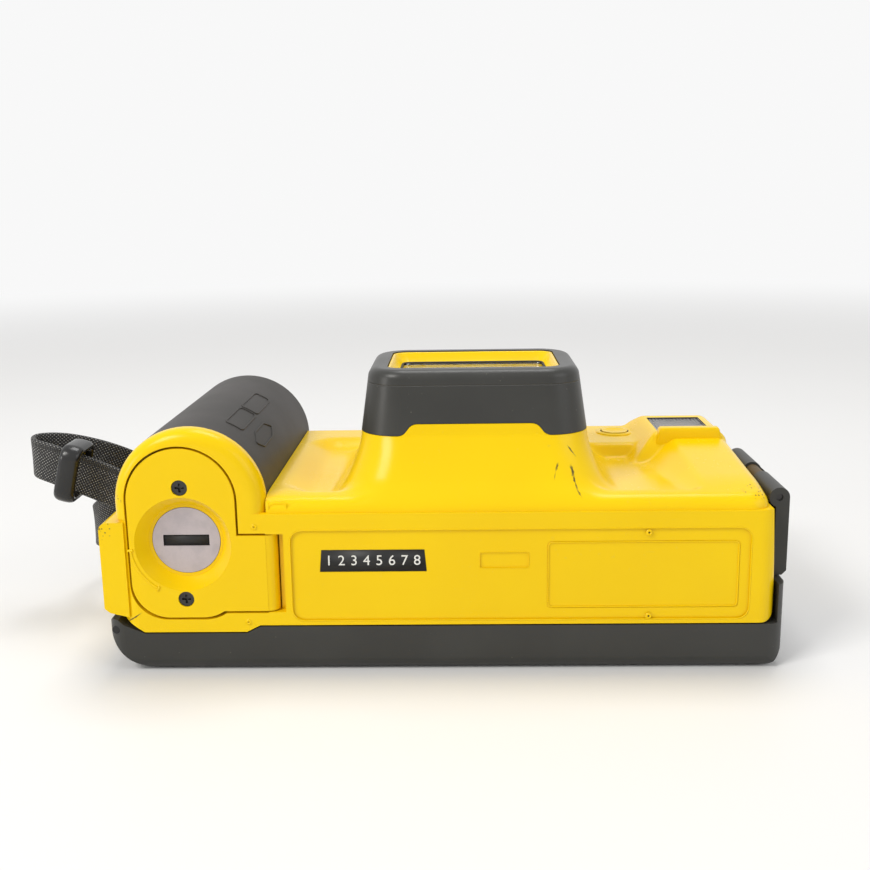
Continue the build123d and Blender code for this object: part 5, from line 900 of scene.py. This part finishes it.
# %% Threads
def thread(name, line, radius, material, up, body="camera_body", closed=True, sides=8):
    """A round tube along a line in mm. The circle stands across the line's own direction."""
    line = np.asarray(line, float)
    if closed:
        ahead = np.roll(line, -1, axis=0) - np.roll(line, 1, axis=0)
    else:
        ahead = np.gradient(line, axis=0)
    ahead = unit(ahead)
    side = unit(np.cross(ahead, up))
    rise = np.cross(side, ahead)
    turn = np.linspace(0, 2 * pi, sides, endpoint=False)
    aside = np.cos(turn)[None, :, None] * side[:, None]
    upward = np.sin(turn)[None, :, None] * rise[:, None]
    points = line[:, None] + radius * (aside + upward)
    faces = grid_faces(len(line), sides, closed, True)
    if not closed:
        faces += end_faces(len(line), sides)
    make_piece(name, points, faces, material, body, flip=True)


def dense(loop, step=0.8):
    """The same closed line with points no more than step mm apart."""
    loop = np.vstack([loop, loop[:1]])
    run = run_along(loop)
    place = np.linspace(0, run[-1], int(run[-1] / step) + 1)[:-1]
    return np.stack([np.interp(place, run, loop[:, axis]) for axis in range(3)], axis=1)


def face_frame(centre_x, centre_z, half_x, half_z, corner, y, count=6):
    """A rounded rectangle standing in the base face, at depth y."""
    loop = ring_of((centre_x, centre_z), half_x, half_z, corner, y, count)
    return dense(loop[:, [0, 2, 1]])


# %% Frames on the base face
TOWARD_EYE = (0, -1, 0)
FRAMES = (
    ("label_frame", (43.25, 21.65, 20.3, 7.3, 0.9, -35.6), 0.16, yellow),
    ("small_frame", (13.55, 25.05, 5.3, 1.8, 0.3, -35.6), 0.12, yellow),
    ("recess_edge", (16.8, 21.85, 49.3, 10.25, 2.6, -35.98), 0.14, yellow),
    ("strip_mark", (-34.9, 37.2, 1.9, 1.2, 0.3, -35.2), 0.12, panel_yellow),
)
for name, outline, radius, finish in FRAMES:
    thread(name, face_frame(*outline), radius, finish, TOWARD_EYE)

# %% [markdown]
# On the battery door a raised arc shows how far the lock turns, with a tick at each end. It is
# part of a circle about the lock's own centre, so its points come from one angle, and it rides
# on the door.

# %% Lock marks on the door
LOCK_X, LOCK_Z, LOCK_ARC = -55.6, 29.1, 11.5
LOCK_START, LOCK_END, ARC_POINTS = -174, -121, 24
BASE_FACE, TICK_HALF, MARK_RADIUS = -36.0, 0.6, 0.3


def on_lock_arc(degrees):
    """Points round the lock: its centre plus the arc's radius times cosine and sine of the angle."""
    turn = np.radians(np.atleast_1d(degrees))
    aim = np.stack([np.cos(turn), np.zeros(len(turn)), np.sin(turn)], axis=1)
    return np.array([LOCK_X, BASE_FACE, LOCK_Z]) + aim * LOCK_ARC, aim


arc_line, _ = on_lock_arc(np.linspace(LOCK_START, LOCK_END, ARC_POINTS))
thread("lock_arc", arc_line, MARK_RADIUS, yellow, TOWARD_EYE, "battery_door", closed=False)
for name, angle in (("lock_tick_1", LOCK_START), ("lock_tick_2", LOCK_END)):
    middle, aim = on_lock_arc(angle)
    tick = middle + np.linspace(-TICK_HALF, TICK_HALF, 5)[:, None] * aim
    thread(name, tick, MARK_RADIUS, yellow, TOWARD_EYE, "battery_door", closed=False)

# %% [markdown]
# The grip's skin has three raised outlines. They are drawn flat first, as an angle round the
# grip and a place along it, and then wrapped onto its round skin, which keeps every point at the
# same height over the rubber.

# %% Marks on the grip
GRIP_X, GRIP_Z, GRIP_RADIUS = -54.0, 38.0, 16.3
PAD_LIFT, PAD_RADIUS = 0.02, 0.22


def on_grip(angle, y):
    """Points on the grip's round skin, the angle in degrees from the top towards the lens."""
    turn = np.radians(angle)
    reach = GRIP_RADIUS + PAD_LIFT
    return np.stack([GRIP_X + reach * np.sin(turn), y, GRIP_Z + reach * np.cos(turn)], axis=1)


def grip_pad(name, corners):
    """A closed raised line through corners given as (angle, y)."""
    corners = np.array(corners, float)
    loop = dense(np.column_stack([corners, np.zeros(len(corners))]), 1.0)
    line = on_grip(loop[:, 0], loop[:, 1])
    inward = np.array([GRIP_X - line[:, 0].mean(), 0, GRIP_Z - line[:, 2].mean()])
    thread(name, line, PAD_RADIUS, rubber, tuple(-inward / np.linalg.norm(inward)))


grip_pad("grip_pad_1", [
    (21.5, -2.5), (23, -3.8), (35, -3.8), (36.5, -2.5), (36.5, 12.7), (35, 14), (23, 14), (21.5, 12.7),
])
grip_pad("grip_pad_2", [
    (21.5, -20.7), (23, -22), (35, -22), (36.5, -20.7), (36.5, -6.6), (35, -5.3), (23, -5.3), (21.5, -6.6),
])
grip_pad("grip_pad_3", [(45, -16.5), (51.5, -21.8), (58, -18.5), (58, -8.0), (52, -3.0), (45, -6.5)])

# %% [markdown]
# The camera has its number on a small black plate. Here the plate carries plain counting digits.
# The plate is a flat outline with a front and a back. The digits are a text object turned into a
# mesh before it is put in place, so the mesh itself holds the place and the object stays at the
# origin.

# %% Thin plates and digits
def thin_plate(name, outline, y_front, y_back, material):
    """A flat plate in the base face, from its x, z corners."""
    outline = np.asarray(outline, float)
    count = len(outline)
    points = np.concatenate([
        np.column_stack([outline[:, 0], np.full(count, y), outline[:, 1]]) for y in (y_front, y_back)
    ])
    faces = grid_faces(2, count, round_columns=True) + end_faces(2, count)
    return make_piece(name, points, faces, material)


def raised_text(name, words, size, centre_x, centre_z, y, material, spacing=1.7, thick=0.03):
    """Characters turned into a thin mesh that reads from the near side.

    The flat text's x stays x, its y becomes the height z, and its thickness runs along depth.
    """
    curve = bpy.data.curves.new(name, "FONT")
    curve.body = words
    curve.size = size
    curve.align_x = "CENTER"
    curve.align_y = "CENTER"
    curve.extrude = thick
    curve.space_character = spacing
    holder = bpy.data.objects.new(name, curve)
    bpy.context.collection.objects.link(holder)
    graph = bpy.context.evaluated_depsgraph_get()
    mesh = bpy.data.meshes.new_from_object(holder.evaluated_get(graph))
    flat = np.empty(len(mesh.vertices) * 3)
    mesh.vertices.foreach_get("co", flat)
    flat = flat.reshape(-1, 3)
    placed = np.column_stack([flat[:, 0] + centre_x, y - flat[:, 2], flat[:, 1] + centre_z]) * MM
    mesh.vertices.foreach_set("co", placed.ravel())
    mesh.materials.clear()
    mesh.materials.append(material)
    bpy.data.objects.remove(holder)
    piece = bpy.data.objects.new(name, mesh)
    bpy.context.collection.objects.link(piece)
    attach(piece, "camera_body")
    print(name, len(mesh.polygons), "faces")


# %% Number plate
PLATE_X, PLATE_Z, PLATE_HALF, PLATE_TALL, PLATE_LEAN = -14.7, 25.1, 11.6, 5.0, 0.5
PLATE_FRONT, PLATE_BACK, PLATE_GAP = -35.66, -35.44, 0.1
DIGIT_FACE, DIGIT_SIZE = -35.68, 3.2
plate_black = dark_finish("plate_black", grey(0.010), grey(0.018), 0.42, 0.5, 0.008)
digit_white = plain_plastic("digit_white", (0.80, 0.80, 0.76, 1), (0.70, 0.70, 0.66, 1), 0.5)
low_z, high_z = PLATE_Z - PLATE_TALL / 2 + PLATE_GAP, PLATE_Z + PLATE_TALL / 2 - PLATE_GAP
corners = [
    (PLATE_X - PLATE_HALF + PLATE_GAP, low_z), (PLATE_X + PLATE_HALF - PLATE_GAP, low_z),
    (PLATE_X + PLATE_HALF - PLATE_LEAN, high_z), (PLATE_X - PLATE_HALF + PLATE_LEAN, high_z),
]
thin_plate("number_plate", corners, PLATE_FRONT, PLATE_BACK, plate_black)
raised_text("number_digits", "12345678", DIGIT_SIZE, PLATE_X, PLATE_Z, DIGIT_FACE, digit_white)

# %% [markdown]
# Four small pips stand on the base face, where pins pushed the moulding out of its mould. Each
# is a profile turned about its axis: a low dome with a pit. The pit lies in shade, so the yellow of
# these pips has a spot of painted shade at each centre.

# %% Moulding pips
PIPS = [(-40.0, 33.0), (-42.2, 11.4), (44.3, 31.1), (44.6, 12.3)]
PIP_SIDES, PIT_RADIUS = 20, 0.3
PIP_RADIUS = np.array([0.02, 0.16, 0.24, 0.40, 0.58, 0.70])
PIP_HEIGHT = np.array([-0.12, -0.12, 0.22, 0.28, 0.20, -0.10])


def pip_points(x, z, y=BASE_FACE):
    """A low dome with a small pit: x and z go round a circle of the profile's radius."""
    turn = np.linspace(0, 2 * pi, PIP_SIDES, endpoint=False)
    px = x + PIP_RADIUS[:, None] * np.cos(turn)
    pz = z + PIP_RADIUS[:, None] * np.sin(turn)
    py = np.broadcast_to(y - PIP_HEIGHT[:, None], px.shape)
    return np.stack([px, py, pz], axis=2).reshape(-1, 3)


rows = len(PIP_RADIUS)
pip_faces = grid_faces(rows, PIP_SIDES, round_columns=True) + end_faces(rows, PIP_SIDES, turned=True)
# Painted shade: a dark spot in the pit at each pip's centre.
pip_yellow = yellow_finish("pip_yellow", painted_shade_spots=[((x, -35.9, z), PIT_RADIUS) for x, z in PIPS])
pips = joined([(pip_points(x, z), pip_faces) for x, z in PIPS])
make_piece("mould_pips", *pips, pip_yellow)

# %% [markdown]
# A coin turns the lock, in a slot cut across the disc. The slot's floor lies in shade, and the
# solid's own floor is bright metal, so a thin black plate lies on it as painted shade. Its depth
# is read from the disc, and it turns with the lock.

# %% Coin slot
SLOT_HALF_X, SLOT_HALF_Z = 5.02, 1.22
SHADOW_FRONT, SHADOW_BACK = 0.25, 0.6
disc_low, disc_high = (np.array(side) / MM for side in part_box("door_lock_disc"))
corners = [
    (LOCK_X + side * SLOT_HALF_X, LOCK_Z + rise * SLOT_HALF_Z)
    for side, rise in ((-1, -1), (1, -1), (1, 1), (-1, 1))
]
print("disc from", disc_low.round(2), "to", disc_high.round(2))
# Painted shade: a thin black plate on the slot's floor.
slot_floor = thin_plate(
    "coin_slot_shadow", corners, disc_low[1] + SHADOW_FRONT, disc_low[1] + SHADOW_BACK, inner_black
)
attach(slot_floor, "door_lock")

# %% [markdown]
# The port is a thick glass in a shallow yellow funnel, with a black joint between them. The
# glass is a stepped prism. The funnel is a closed ring of rounded rectangles that climbs the
# outside, turns over the rim and comes down the inside to the joint. Each level is written out
# as half width, half depth, corner and height, as a turner would write a profile.

# %% Port glass and its joint
port_line = dense(ring_of(LENS_PLACE, 16.85, 10.95, 1.9, 61.95, 8))
thread("port_shadow_line", port_line, 0.3, inner_black, (0, 0, 1))
glass_levels = [
    (19.7, 13.7, 2.4, 57.6), (19.7, 13.7, 2.4, 60.0), (16.6, 10.7, 1.8, 60.01), (16.6, 10.7, 1.8, 61.85),
]
port_pane = make_piece("port_pane", *stack(LENS_PLACE, glass_levels), port_clear)
port_pane.data.set_sharp_from_angle(angle=radians(30))
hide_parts("port_glass")

# %% Port funnel
funnel_levels = [
    (21.0, 15.0, 3.6, 60.1), (21.0, 15.0, 3.6, 61.8), (19.2, 13.3, 3.3, 61.81), (19.2, 13.3, 3.3, 64.1),
    (19.1, 13.2, 3.3, 64.25), (18.9, 13.0, 3.2, 64.3), (18.7, 12.8, 3.1, 64.25), (18.55, 12.65, 3.0, 64.1),
    (17.15, 11.25, 2.1, 62.05), (16.95, 11.05, 2.0, 61.95), (16.95, 11.05, 2.0, 60.1),
]
funnel = np.stack([ring_of(LENS_PLACE, *level) for level in funnel_levels])
funnel_faces = grid_faces(*funnel.shape[:2], round_rows=True, round_columns=True)
port_funnel = make_piece("port_funnel", funnel, funnel_faces, yellow, flip=True)
port_funnel.data.set_sharp_from_angle(angle=radians(35))
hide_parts("lens_bezel")

# %% [markdown]
# ## The wrist strap
#
# The strap is flat nylon webbing. It leaves the bar in the strap block, passes through a
# ladder-lock buckle, turns round it and goes behind the camera to make the hand loop. The CAD
# model gives its route as listed points. A smooth curve drawn to those points is read
# back as close points, and the webbing's flat section is carried along it on edge. Cloth
# simulation would let it fall by itself, but not where the photograph has it.

# %% Strap route
STRAP_ROUTE = [
    (-74.6, 3.6, 27.8), (-81, 3.2, 31), (-89, 3.0, 34.6), (-97, 3.2, 37.6), (-103, 5.0, 39),
    (-103.5, 9.6, 39.4), (-97, 12.6, 38.8), (-88, 14.6, 36), (-80.5, 19, 31), (-77, 27, 25),
    (-75.5, 37, 18), (-70, 45, 11), (-57, 50, 6.5), (-40, 51.2, 5.5), (-22, 50.6, 5.5),
    (-6, 51, 5.5), (5, 54, 5.5), (6.5, 61, 5.5), (-3, 65.2, 5.5), (-20, 65.8, 5.5),
    (-38, 65, 5.5), (-54, 62.5, 5.5), (-68, 57, 6), (-79.5, 48, 7.5), (-87.5, 36, 10.5),
    (-91.5, 23.5, 14.5), (-92, 13.5, 18.5), (-87, 7.6, 22.5), (-81, 6.6, 25), (-75.4, 6.4, 26),
]
STRAP_WIDTH = 10.0
STRAP_THICKNESS = 1.2


def smooth_route(points):
    """Close points along a smooth curve that has these points as its control points."""
    curve = bpy.data.curves.new("route", "CURVE")
    curve.dimensions = "3D"
    curve.resolution_u = 16
    spline = curve.splines.new("NURBS")
    spline.points.add(len(points) - 1)
    for control, place in zip(spline.points, points):
        control.co = (*place, 1)
    spline.order_u = 3
    spline.use_endpoint_u = True
    holder = bpy.data.objects.new("route", curve)
    bpy.context.collection.objects.link(holder)
    graph = bpy.context.evaluated_depsgraph_get()
    line = bpy.data.meshes.new_from_object(holder.evaluated_get(graph))
    found = np.array([vertex.co for vertex in line.vertices])
    bpy.data.objects.remove(holder)
    bpy.data.meshes.remove(line)
    return found


strap_line = smooth_route(STRAP_ROUTE)
strap_run = run_along(strap_line)
print("strap route", round(float(strap_run[-1]), 1), "mm in", len(strap_line), "points")

# %% [markdown]
# Webbing is woven, so its finish has to follow the band round every bend. The mesh carries a UV
# map in metres along and across the band. The weave is the smaller of two sine waves that cross
# at a slant: it is high only where both are, so the raised threads show as a lattice of dots,
# whose tops carry a pale painted highlight.

# %% Webbing finish
WEAVE_PITCH = 0.88 * MM
# NYLON_GLINT is a painted highlight: the pale colour of the thread tops.
NYLON, NYLON_GLINT = (0.005, 0.005, 0.006, 1), (0.42, 0.41, 0.38, 1)


def webbing_finish():
    """Black nylon: the smaller of two crossed sine waves is its height, and the tops carry a pale painted
    highlight.
    """
    finish = Finish("nylon_webbing", Sheen_Weight=0.12, Sheen_Roughness=0.4)
    pitch = 2 * pi / WEAVE_PITCH
    uv = finish.node("ShaderNodeUVMap", {"uv_map": "band"}, {})
    along = finish.node("ShaderNodeSeparateXYZ", {}, {0: uv}, "X")
    across = finish.node("ShaderNodeSeparateXYZ", {}, {0: uv}, "Y")
    rising = (along + across) * pitch
    falling = (along - across) * pitch
    weave = rising.sine().smaller(falling.sine())
    fuzz = finish.noise(0.3, 3)
    glint = weave.between(-0.15, 0.65) * fuzz.between(0.28, 0.6)
    # Painted highlight: the thread tops are mixed toward the pale glint colour.
    colour = finish.mix(glint, NYLON, NYLON_GLINT)
    height = weave * 0.8 + fuzz * 0.2
    roughness = 0.62 - glint * 0.2
    return finish.paint(Base_Color=colour, Roughness=roughness, Normal=finish.relief(height, 0.15, 0.8))


webbing = webbing_finish()
print(webbing.name, "with", len(webbing.node_tree.nodes), "nodes")

# %% [markdown]
# The buckle is a glossy ladder-lock that stands across the webbing, so the photograph shows it
# almost edge on: a thick front bar, and the band passing behind it. It is a closed ring whose
# section is a rounded bar, wider along the band than it is thick, with one cross bar. A sine and
# a cosine raised to a power below one make that section: an oval with flatter sides.

# %% Buckle shape
BUCKLE_CENTRE = np.array([-92.0, 2.6, 36.2])
BUCKLE_LEAN = radians(14)
BUCKLE_HALF_WIDE, BUCKLE_HALF_THICK = 2.5, 1.15
BUCKLE_HALF_DEPTH, BUCKLE_HALF_HEIGHT, BUCKLE_CORNER = 5.3, 6.2, 2.4
BAR_SIDES, BAR_ROWS, BAR_OVAL = 16, 8, 1.3


def flattened(wave, power):
    """A sine or cosine raised to a power below one, its sign kept, so its peaks grow flat."""
    return np.sign(wave) * np.abs(wave) ** power


def buckle_points(u_count=72, v_count=16):
    """A rounded rectangle in depth and height, carrying an oval section: wide in x, thin across."""
    loop = ring_of((0, 0), BUCKLE_HALF_DEPTH, BUCKLE_HALF_HEIGHT, BUCKLE_CORNER, 0, u_count // 4)[:, :2]
    ahead = unit(np.roll(loop, -1, axis=0) - np.roll(loop, 1, axis=0))
    outward = np.column_stack([ahead[:, 1], -ahead[:, 0]])
    turn = np.linspace(0, 2 * pi, v_count, endpoint=False)
    wide = BUCKLE_HALF_WIDE * flattened(np.cos(turn), 0.7)
    thick = BUCKLE_HALF_THICK * flattened(np.sin(turn), 0.8)
    depth = loop[:, None, 0] + thick * outward[:, None, 0]
    height = loop[:, None, 1] + thick * outward[:, None, 1]
    return np.stack([np.broadcast_to(wide, depth.shape), depth, height], axis=2)


def bar_points(depth, half, radius):
    """An upright bar with closed ends at the given depth: an oval, wider in x, at each height."""
    z = np.concatenate([[-half - 0.02], np.linspace(-half, half, BAR_ROWS - 2), [half + 0.02]])
    size = np.array([0.1, *([radius] * (BAR_ROWS - 2)), 0.1])
    turn = np.linspace(0, 2 * pi, BAR_SIDES, endpoint=False)
    x = size[:, None] * np.cos(turn) * BAR_OVAL
    y = depth + size[:, None] * np.sin(turn)
    return np.stack([x, y, np.broadcast_to(z[:, None], x.shape)], axis=2)


def leant(points):
    """Turns the buckle about the depth axis and puts it at its place."""
    points = points.reshape(-1, 3)
    x = points[:, 0] * np.cos(BUCKLE_LEAN) + points[:, 2] * np.sin(BUCKLE_LEAN)
    z = points[:, 2] * np.cos(BUCKLE_LEAN) - points[:, 0] * np.sin(BUCKLE_LEAN)
    return np.column_stack([x, points[:, 1], z]) + BUCKLE_CENTRE


# %% Buckle piece
ring_points = buckle_points()
bar = bar_points(depth=3.1, half=6.1, radius=0.9)
bar_faces = grid_faces(BAR_ROWS, BAR_SIDES, round_columns=True)
bar_faces += end_faces(BAR_ROWS, BAR_SIDES, turned=True)
ring_faces = grid_faces(*ring_points.shape[:2], round_rows=True, round_columns=True)
buckle_gloss = dark_finish("buckle_gloss", grey(0.016), grey(0.026), 0.16, 0.6, 0.006)
buckle_parts = joined([(leant(ring_points), ring_faces), (leant(bar), bar_faces)])
buckle = make_piece("buckle_frame", *buckle_parts, buckle_gloss)
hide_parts("strap_buckle")

# %% [markdown]
# The band is one mesh: the flat section repeated at every point of the route, its two ends
# closed. Each corner of a face gets its run along the band and round the section as its place in
# the UV map.

# %% Strap section
def band_section(width, thickness, corners=4):
    """A flat section with round edges: two straight sides joined by half circles."""
    turn = np.linspace(-pi / 2, pi / 2, corners * 2 + 1)
    half = width / 2 - thickness / 2
    upper = np.stack([half + thickness / 2 * np.cos(turn), thickness / 2 * np.sin(turn)], axis=1)
    flat = np.linspace(half, -half, 9)[1:-1]
    top_side = np.stack([flat, np.full(len(flat), thickness / 2)], axis=1)
    return np.vstack([upper, top_side, -upper, -top_side])


def carried(line, section):
    """The section at each point of the line, its width standing as upright as the line allows."""
    ahead = unit(np.gradient(line, axis=0))
    upright = unit(np.array([0, 0, 1.0]) - ahead[:, 2:] * ahead)
    side = np.cross(ahead, upright)
    across, through = section[None, :, :1], section[None, :, 1:]
    return line[:, None] + across * upright[:, None] + through * side[:, None]


# %% Strap mesh
section = band_section(STRAP_WIDTH, STRAP_THICKNESS)
strap_points = carried(strap_line, section)
rows, columns = strap_points.shape[:2]
strap_faces = grid_faces(rows, columns, round_columns=True) + end_faces(rows, columns)
strap = make_piece("wrist_strap_webbing", strap_points, strap_faces, webbing)
edge_run = run_along(np.vstack([section, section[:1]]))
loop_vertex = np.array([loop.vertex_index for loop in strap.data.loops])
band_uv = np.stack([strap_run[loop_vertex // columns], edge_run[loop_vertex % columns]], axis=1) * MM
print("band", rows, "sections of", columns, "points, UV map in metres")
strap.data.uv_layers.new(name="band").data.foreach_set("uv", band_uv.ravel())
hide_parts("wrist_strap")

# %% [markdown]
# ## Floor and light
#
# A plain pale floor shows the camera's shadow and nothing else. The world is an even pale light.
# The eye and all reflections see the backdrop as white, while the light that falls on things
# stays plain: Light Path tells the rays apart, so the white adds no light. A brighter world
# would whiten the backdrop too, but it would bleach the yellow.

# %% Floor
FLOOR_SIZE = 6.0
FLOOR_GAP = 0.05 * MM
BACKDROP = (0.94, 0.94, 0.94, 1)
floor_mesh = bpy.data.meshes.new("floor")
half = FLOOR_SIZE / 2
floor_mesh.from_pydata(
    [(-half, -half, 0), (half, -half, 0), (half, half, 0), (-half, half, 0)], [], [(0, 1, 2, 3)]
)
floor = bpy.data.objects.new("floor", floor_mesh)
floor.location.z = cad_box[0][2] - FLOOR_GAP
bpy.context.collection.objects.link(floor)
floor_finish = Finish("pale_floor", Roughness=0.55)
floor_tone = floor_finish.mix(floor_finish.noise(60.0, 2) * 0.3, grey(0.82), grey(0.79))
floor_finish.paint(Base_Color=floor_tone)
print("floor", round(floor.location.z / MM, 2), "mm high")


# %% Backdrop
def seen_directly(tree):
    """1 for rays from the eye, from gloss and through glass, 0 for light that falls on things."""
    path = tree.nodes.new("ShaderNodeLightPath")
    total = path.outputs["Is Camera Ray"]
    for ray in ("Is Glossy Ray", "Is Transmission Ray"):
        either = tree.nodes.new("ShaderNodeMath")
        either.operation = "MAXIMUM"
        tree.links.new(total, either.inputs[0])
        tree.links.new(path.outputs[ray], either.inputs[1])
        total = either.outputs[0]
    return total


def backdrop_floor(finish, start, end):
    """The floor turns to plain white from start to end metres away, so no horizon shows."""
    tree = finish.tree
    reach = finish.node("ShaderNodeVectorMath", {"operation": "LENGTH"}, {0: finish.place}, "Value")
    far = reach.between(start, end)
    share = far * Wire(finish, seen_directly(tree))
    white = tree.nodes.new("ShaderNodeEmission")
    white.inputs["Color"].default_value = BACKDROP
    mixed = tree.nodes.new("ShaderNodeMixShader")
    tree.links.new(share.socket, mixed.inputs[0])
    tree.links.new(finish.shader.outputs[0], mixed.inputs[1])
    tree.links.new(white.outputs[0], mixed.inputs[2])
    tree.links.new(mixed.outputs[0], tree.nodes["Material Output"].inputs["Surface"])
    return finish.material


floor_mesh.materials.append(backdrop_floor(floor_finish, 0.30, 1.1))

# %% World
WORLD_COLOUR, WORLD_STRENGTH = (1.0, 0.985, 0.96, 1), 0.40
world = bpy.data.worlds.new("studio")
bpy.context.scene.world = world
world.use_nodes = True
tree = world.node_tree
background = tree.nodes["Background"]
background.inputs["Color"].default_value = WORLD_COLOUR
background.inputs["Strength"].default_value = WORLD_STRENGTH
seen = tree.nodes.new("ShaderNodeBackground")
seen.inputs["Color"].default_value = BACKDROP
seen.inputs["Strength"].default_value = 1.0
mixed = tree.nodes.new("ShaderNodeMixShader")
tree.links.new(seen_directly(tree), mixed.inputs[0])
tree.links.new(background.outputs[0], mixed.inputs[1])
tree.links.new(seen.outputs[0], mixed.inputs[2])
tree.links.new(mixed.outputs[0], tree.nodes["World Output"].inputs["Surface"])
print(world.name, "lights with strength", WORLD_STRENGTH)

# %% [markdown]
# Four square lamps light the camera. The key stands above and to the left, the fill to the right
# is larger and weaker and softens its shadow, and a lamp behind and above lights the top edges. A
# small low lamp at the left draws an upright streak down the hood, as a window does. A lamp
# points along its own minus z, so two turns are worked out from the direction to its aim.

# %% Lamps
def soft_lamp(name, place, aim, size, power, colour=(1, 1, 1)):
    """A square area lamp that looks at aim. Place, aim and size are in metres, power in watts."""
    data = bpy.data.lights.new(name, "AREA")
    data.shape = "SQUARE"
    data.size = size
    data.energy = power
    data.color = colour
    lamp = bpy.data.objects.new(name, data)
    lamp.location = place
    direction = np.array(aim) - np.array(place)
    level = np.hypot(direction[0], direction[1])
    lamp.rotation_euler = (np.arctan2(level, -direction[2]), 0, np.arctan2(-direction[0], direction[1]))
    bpy.context.collection.objects.link(lamp)
    print(name, "lamp,", power, "W")


soft_lamp("key", (-0.55, -0.50, 0.75), (0, 0, 0.03), 0.35, 5.2, (1.0, 0.98, 0.94))
soft_lamp("fill", (0.70, -0.45, 0.45), (0, 0, 0.03), 0.6, 1.8, (0.97, 0.98, 1.0))
soft_lamp("side", (-0.78, -0.42, 0.20), (0, 0, 0.04), 0.22, 1.1, (1.0, 0.98, 0.95))
soft_lamp("top", (0.05, 0.20, 0.85), (0, 0, 0.03), 0.4, 3.2)

bpy.context.scene.view_settings.view_transform = "Standard"
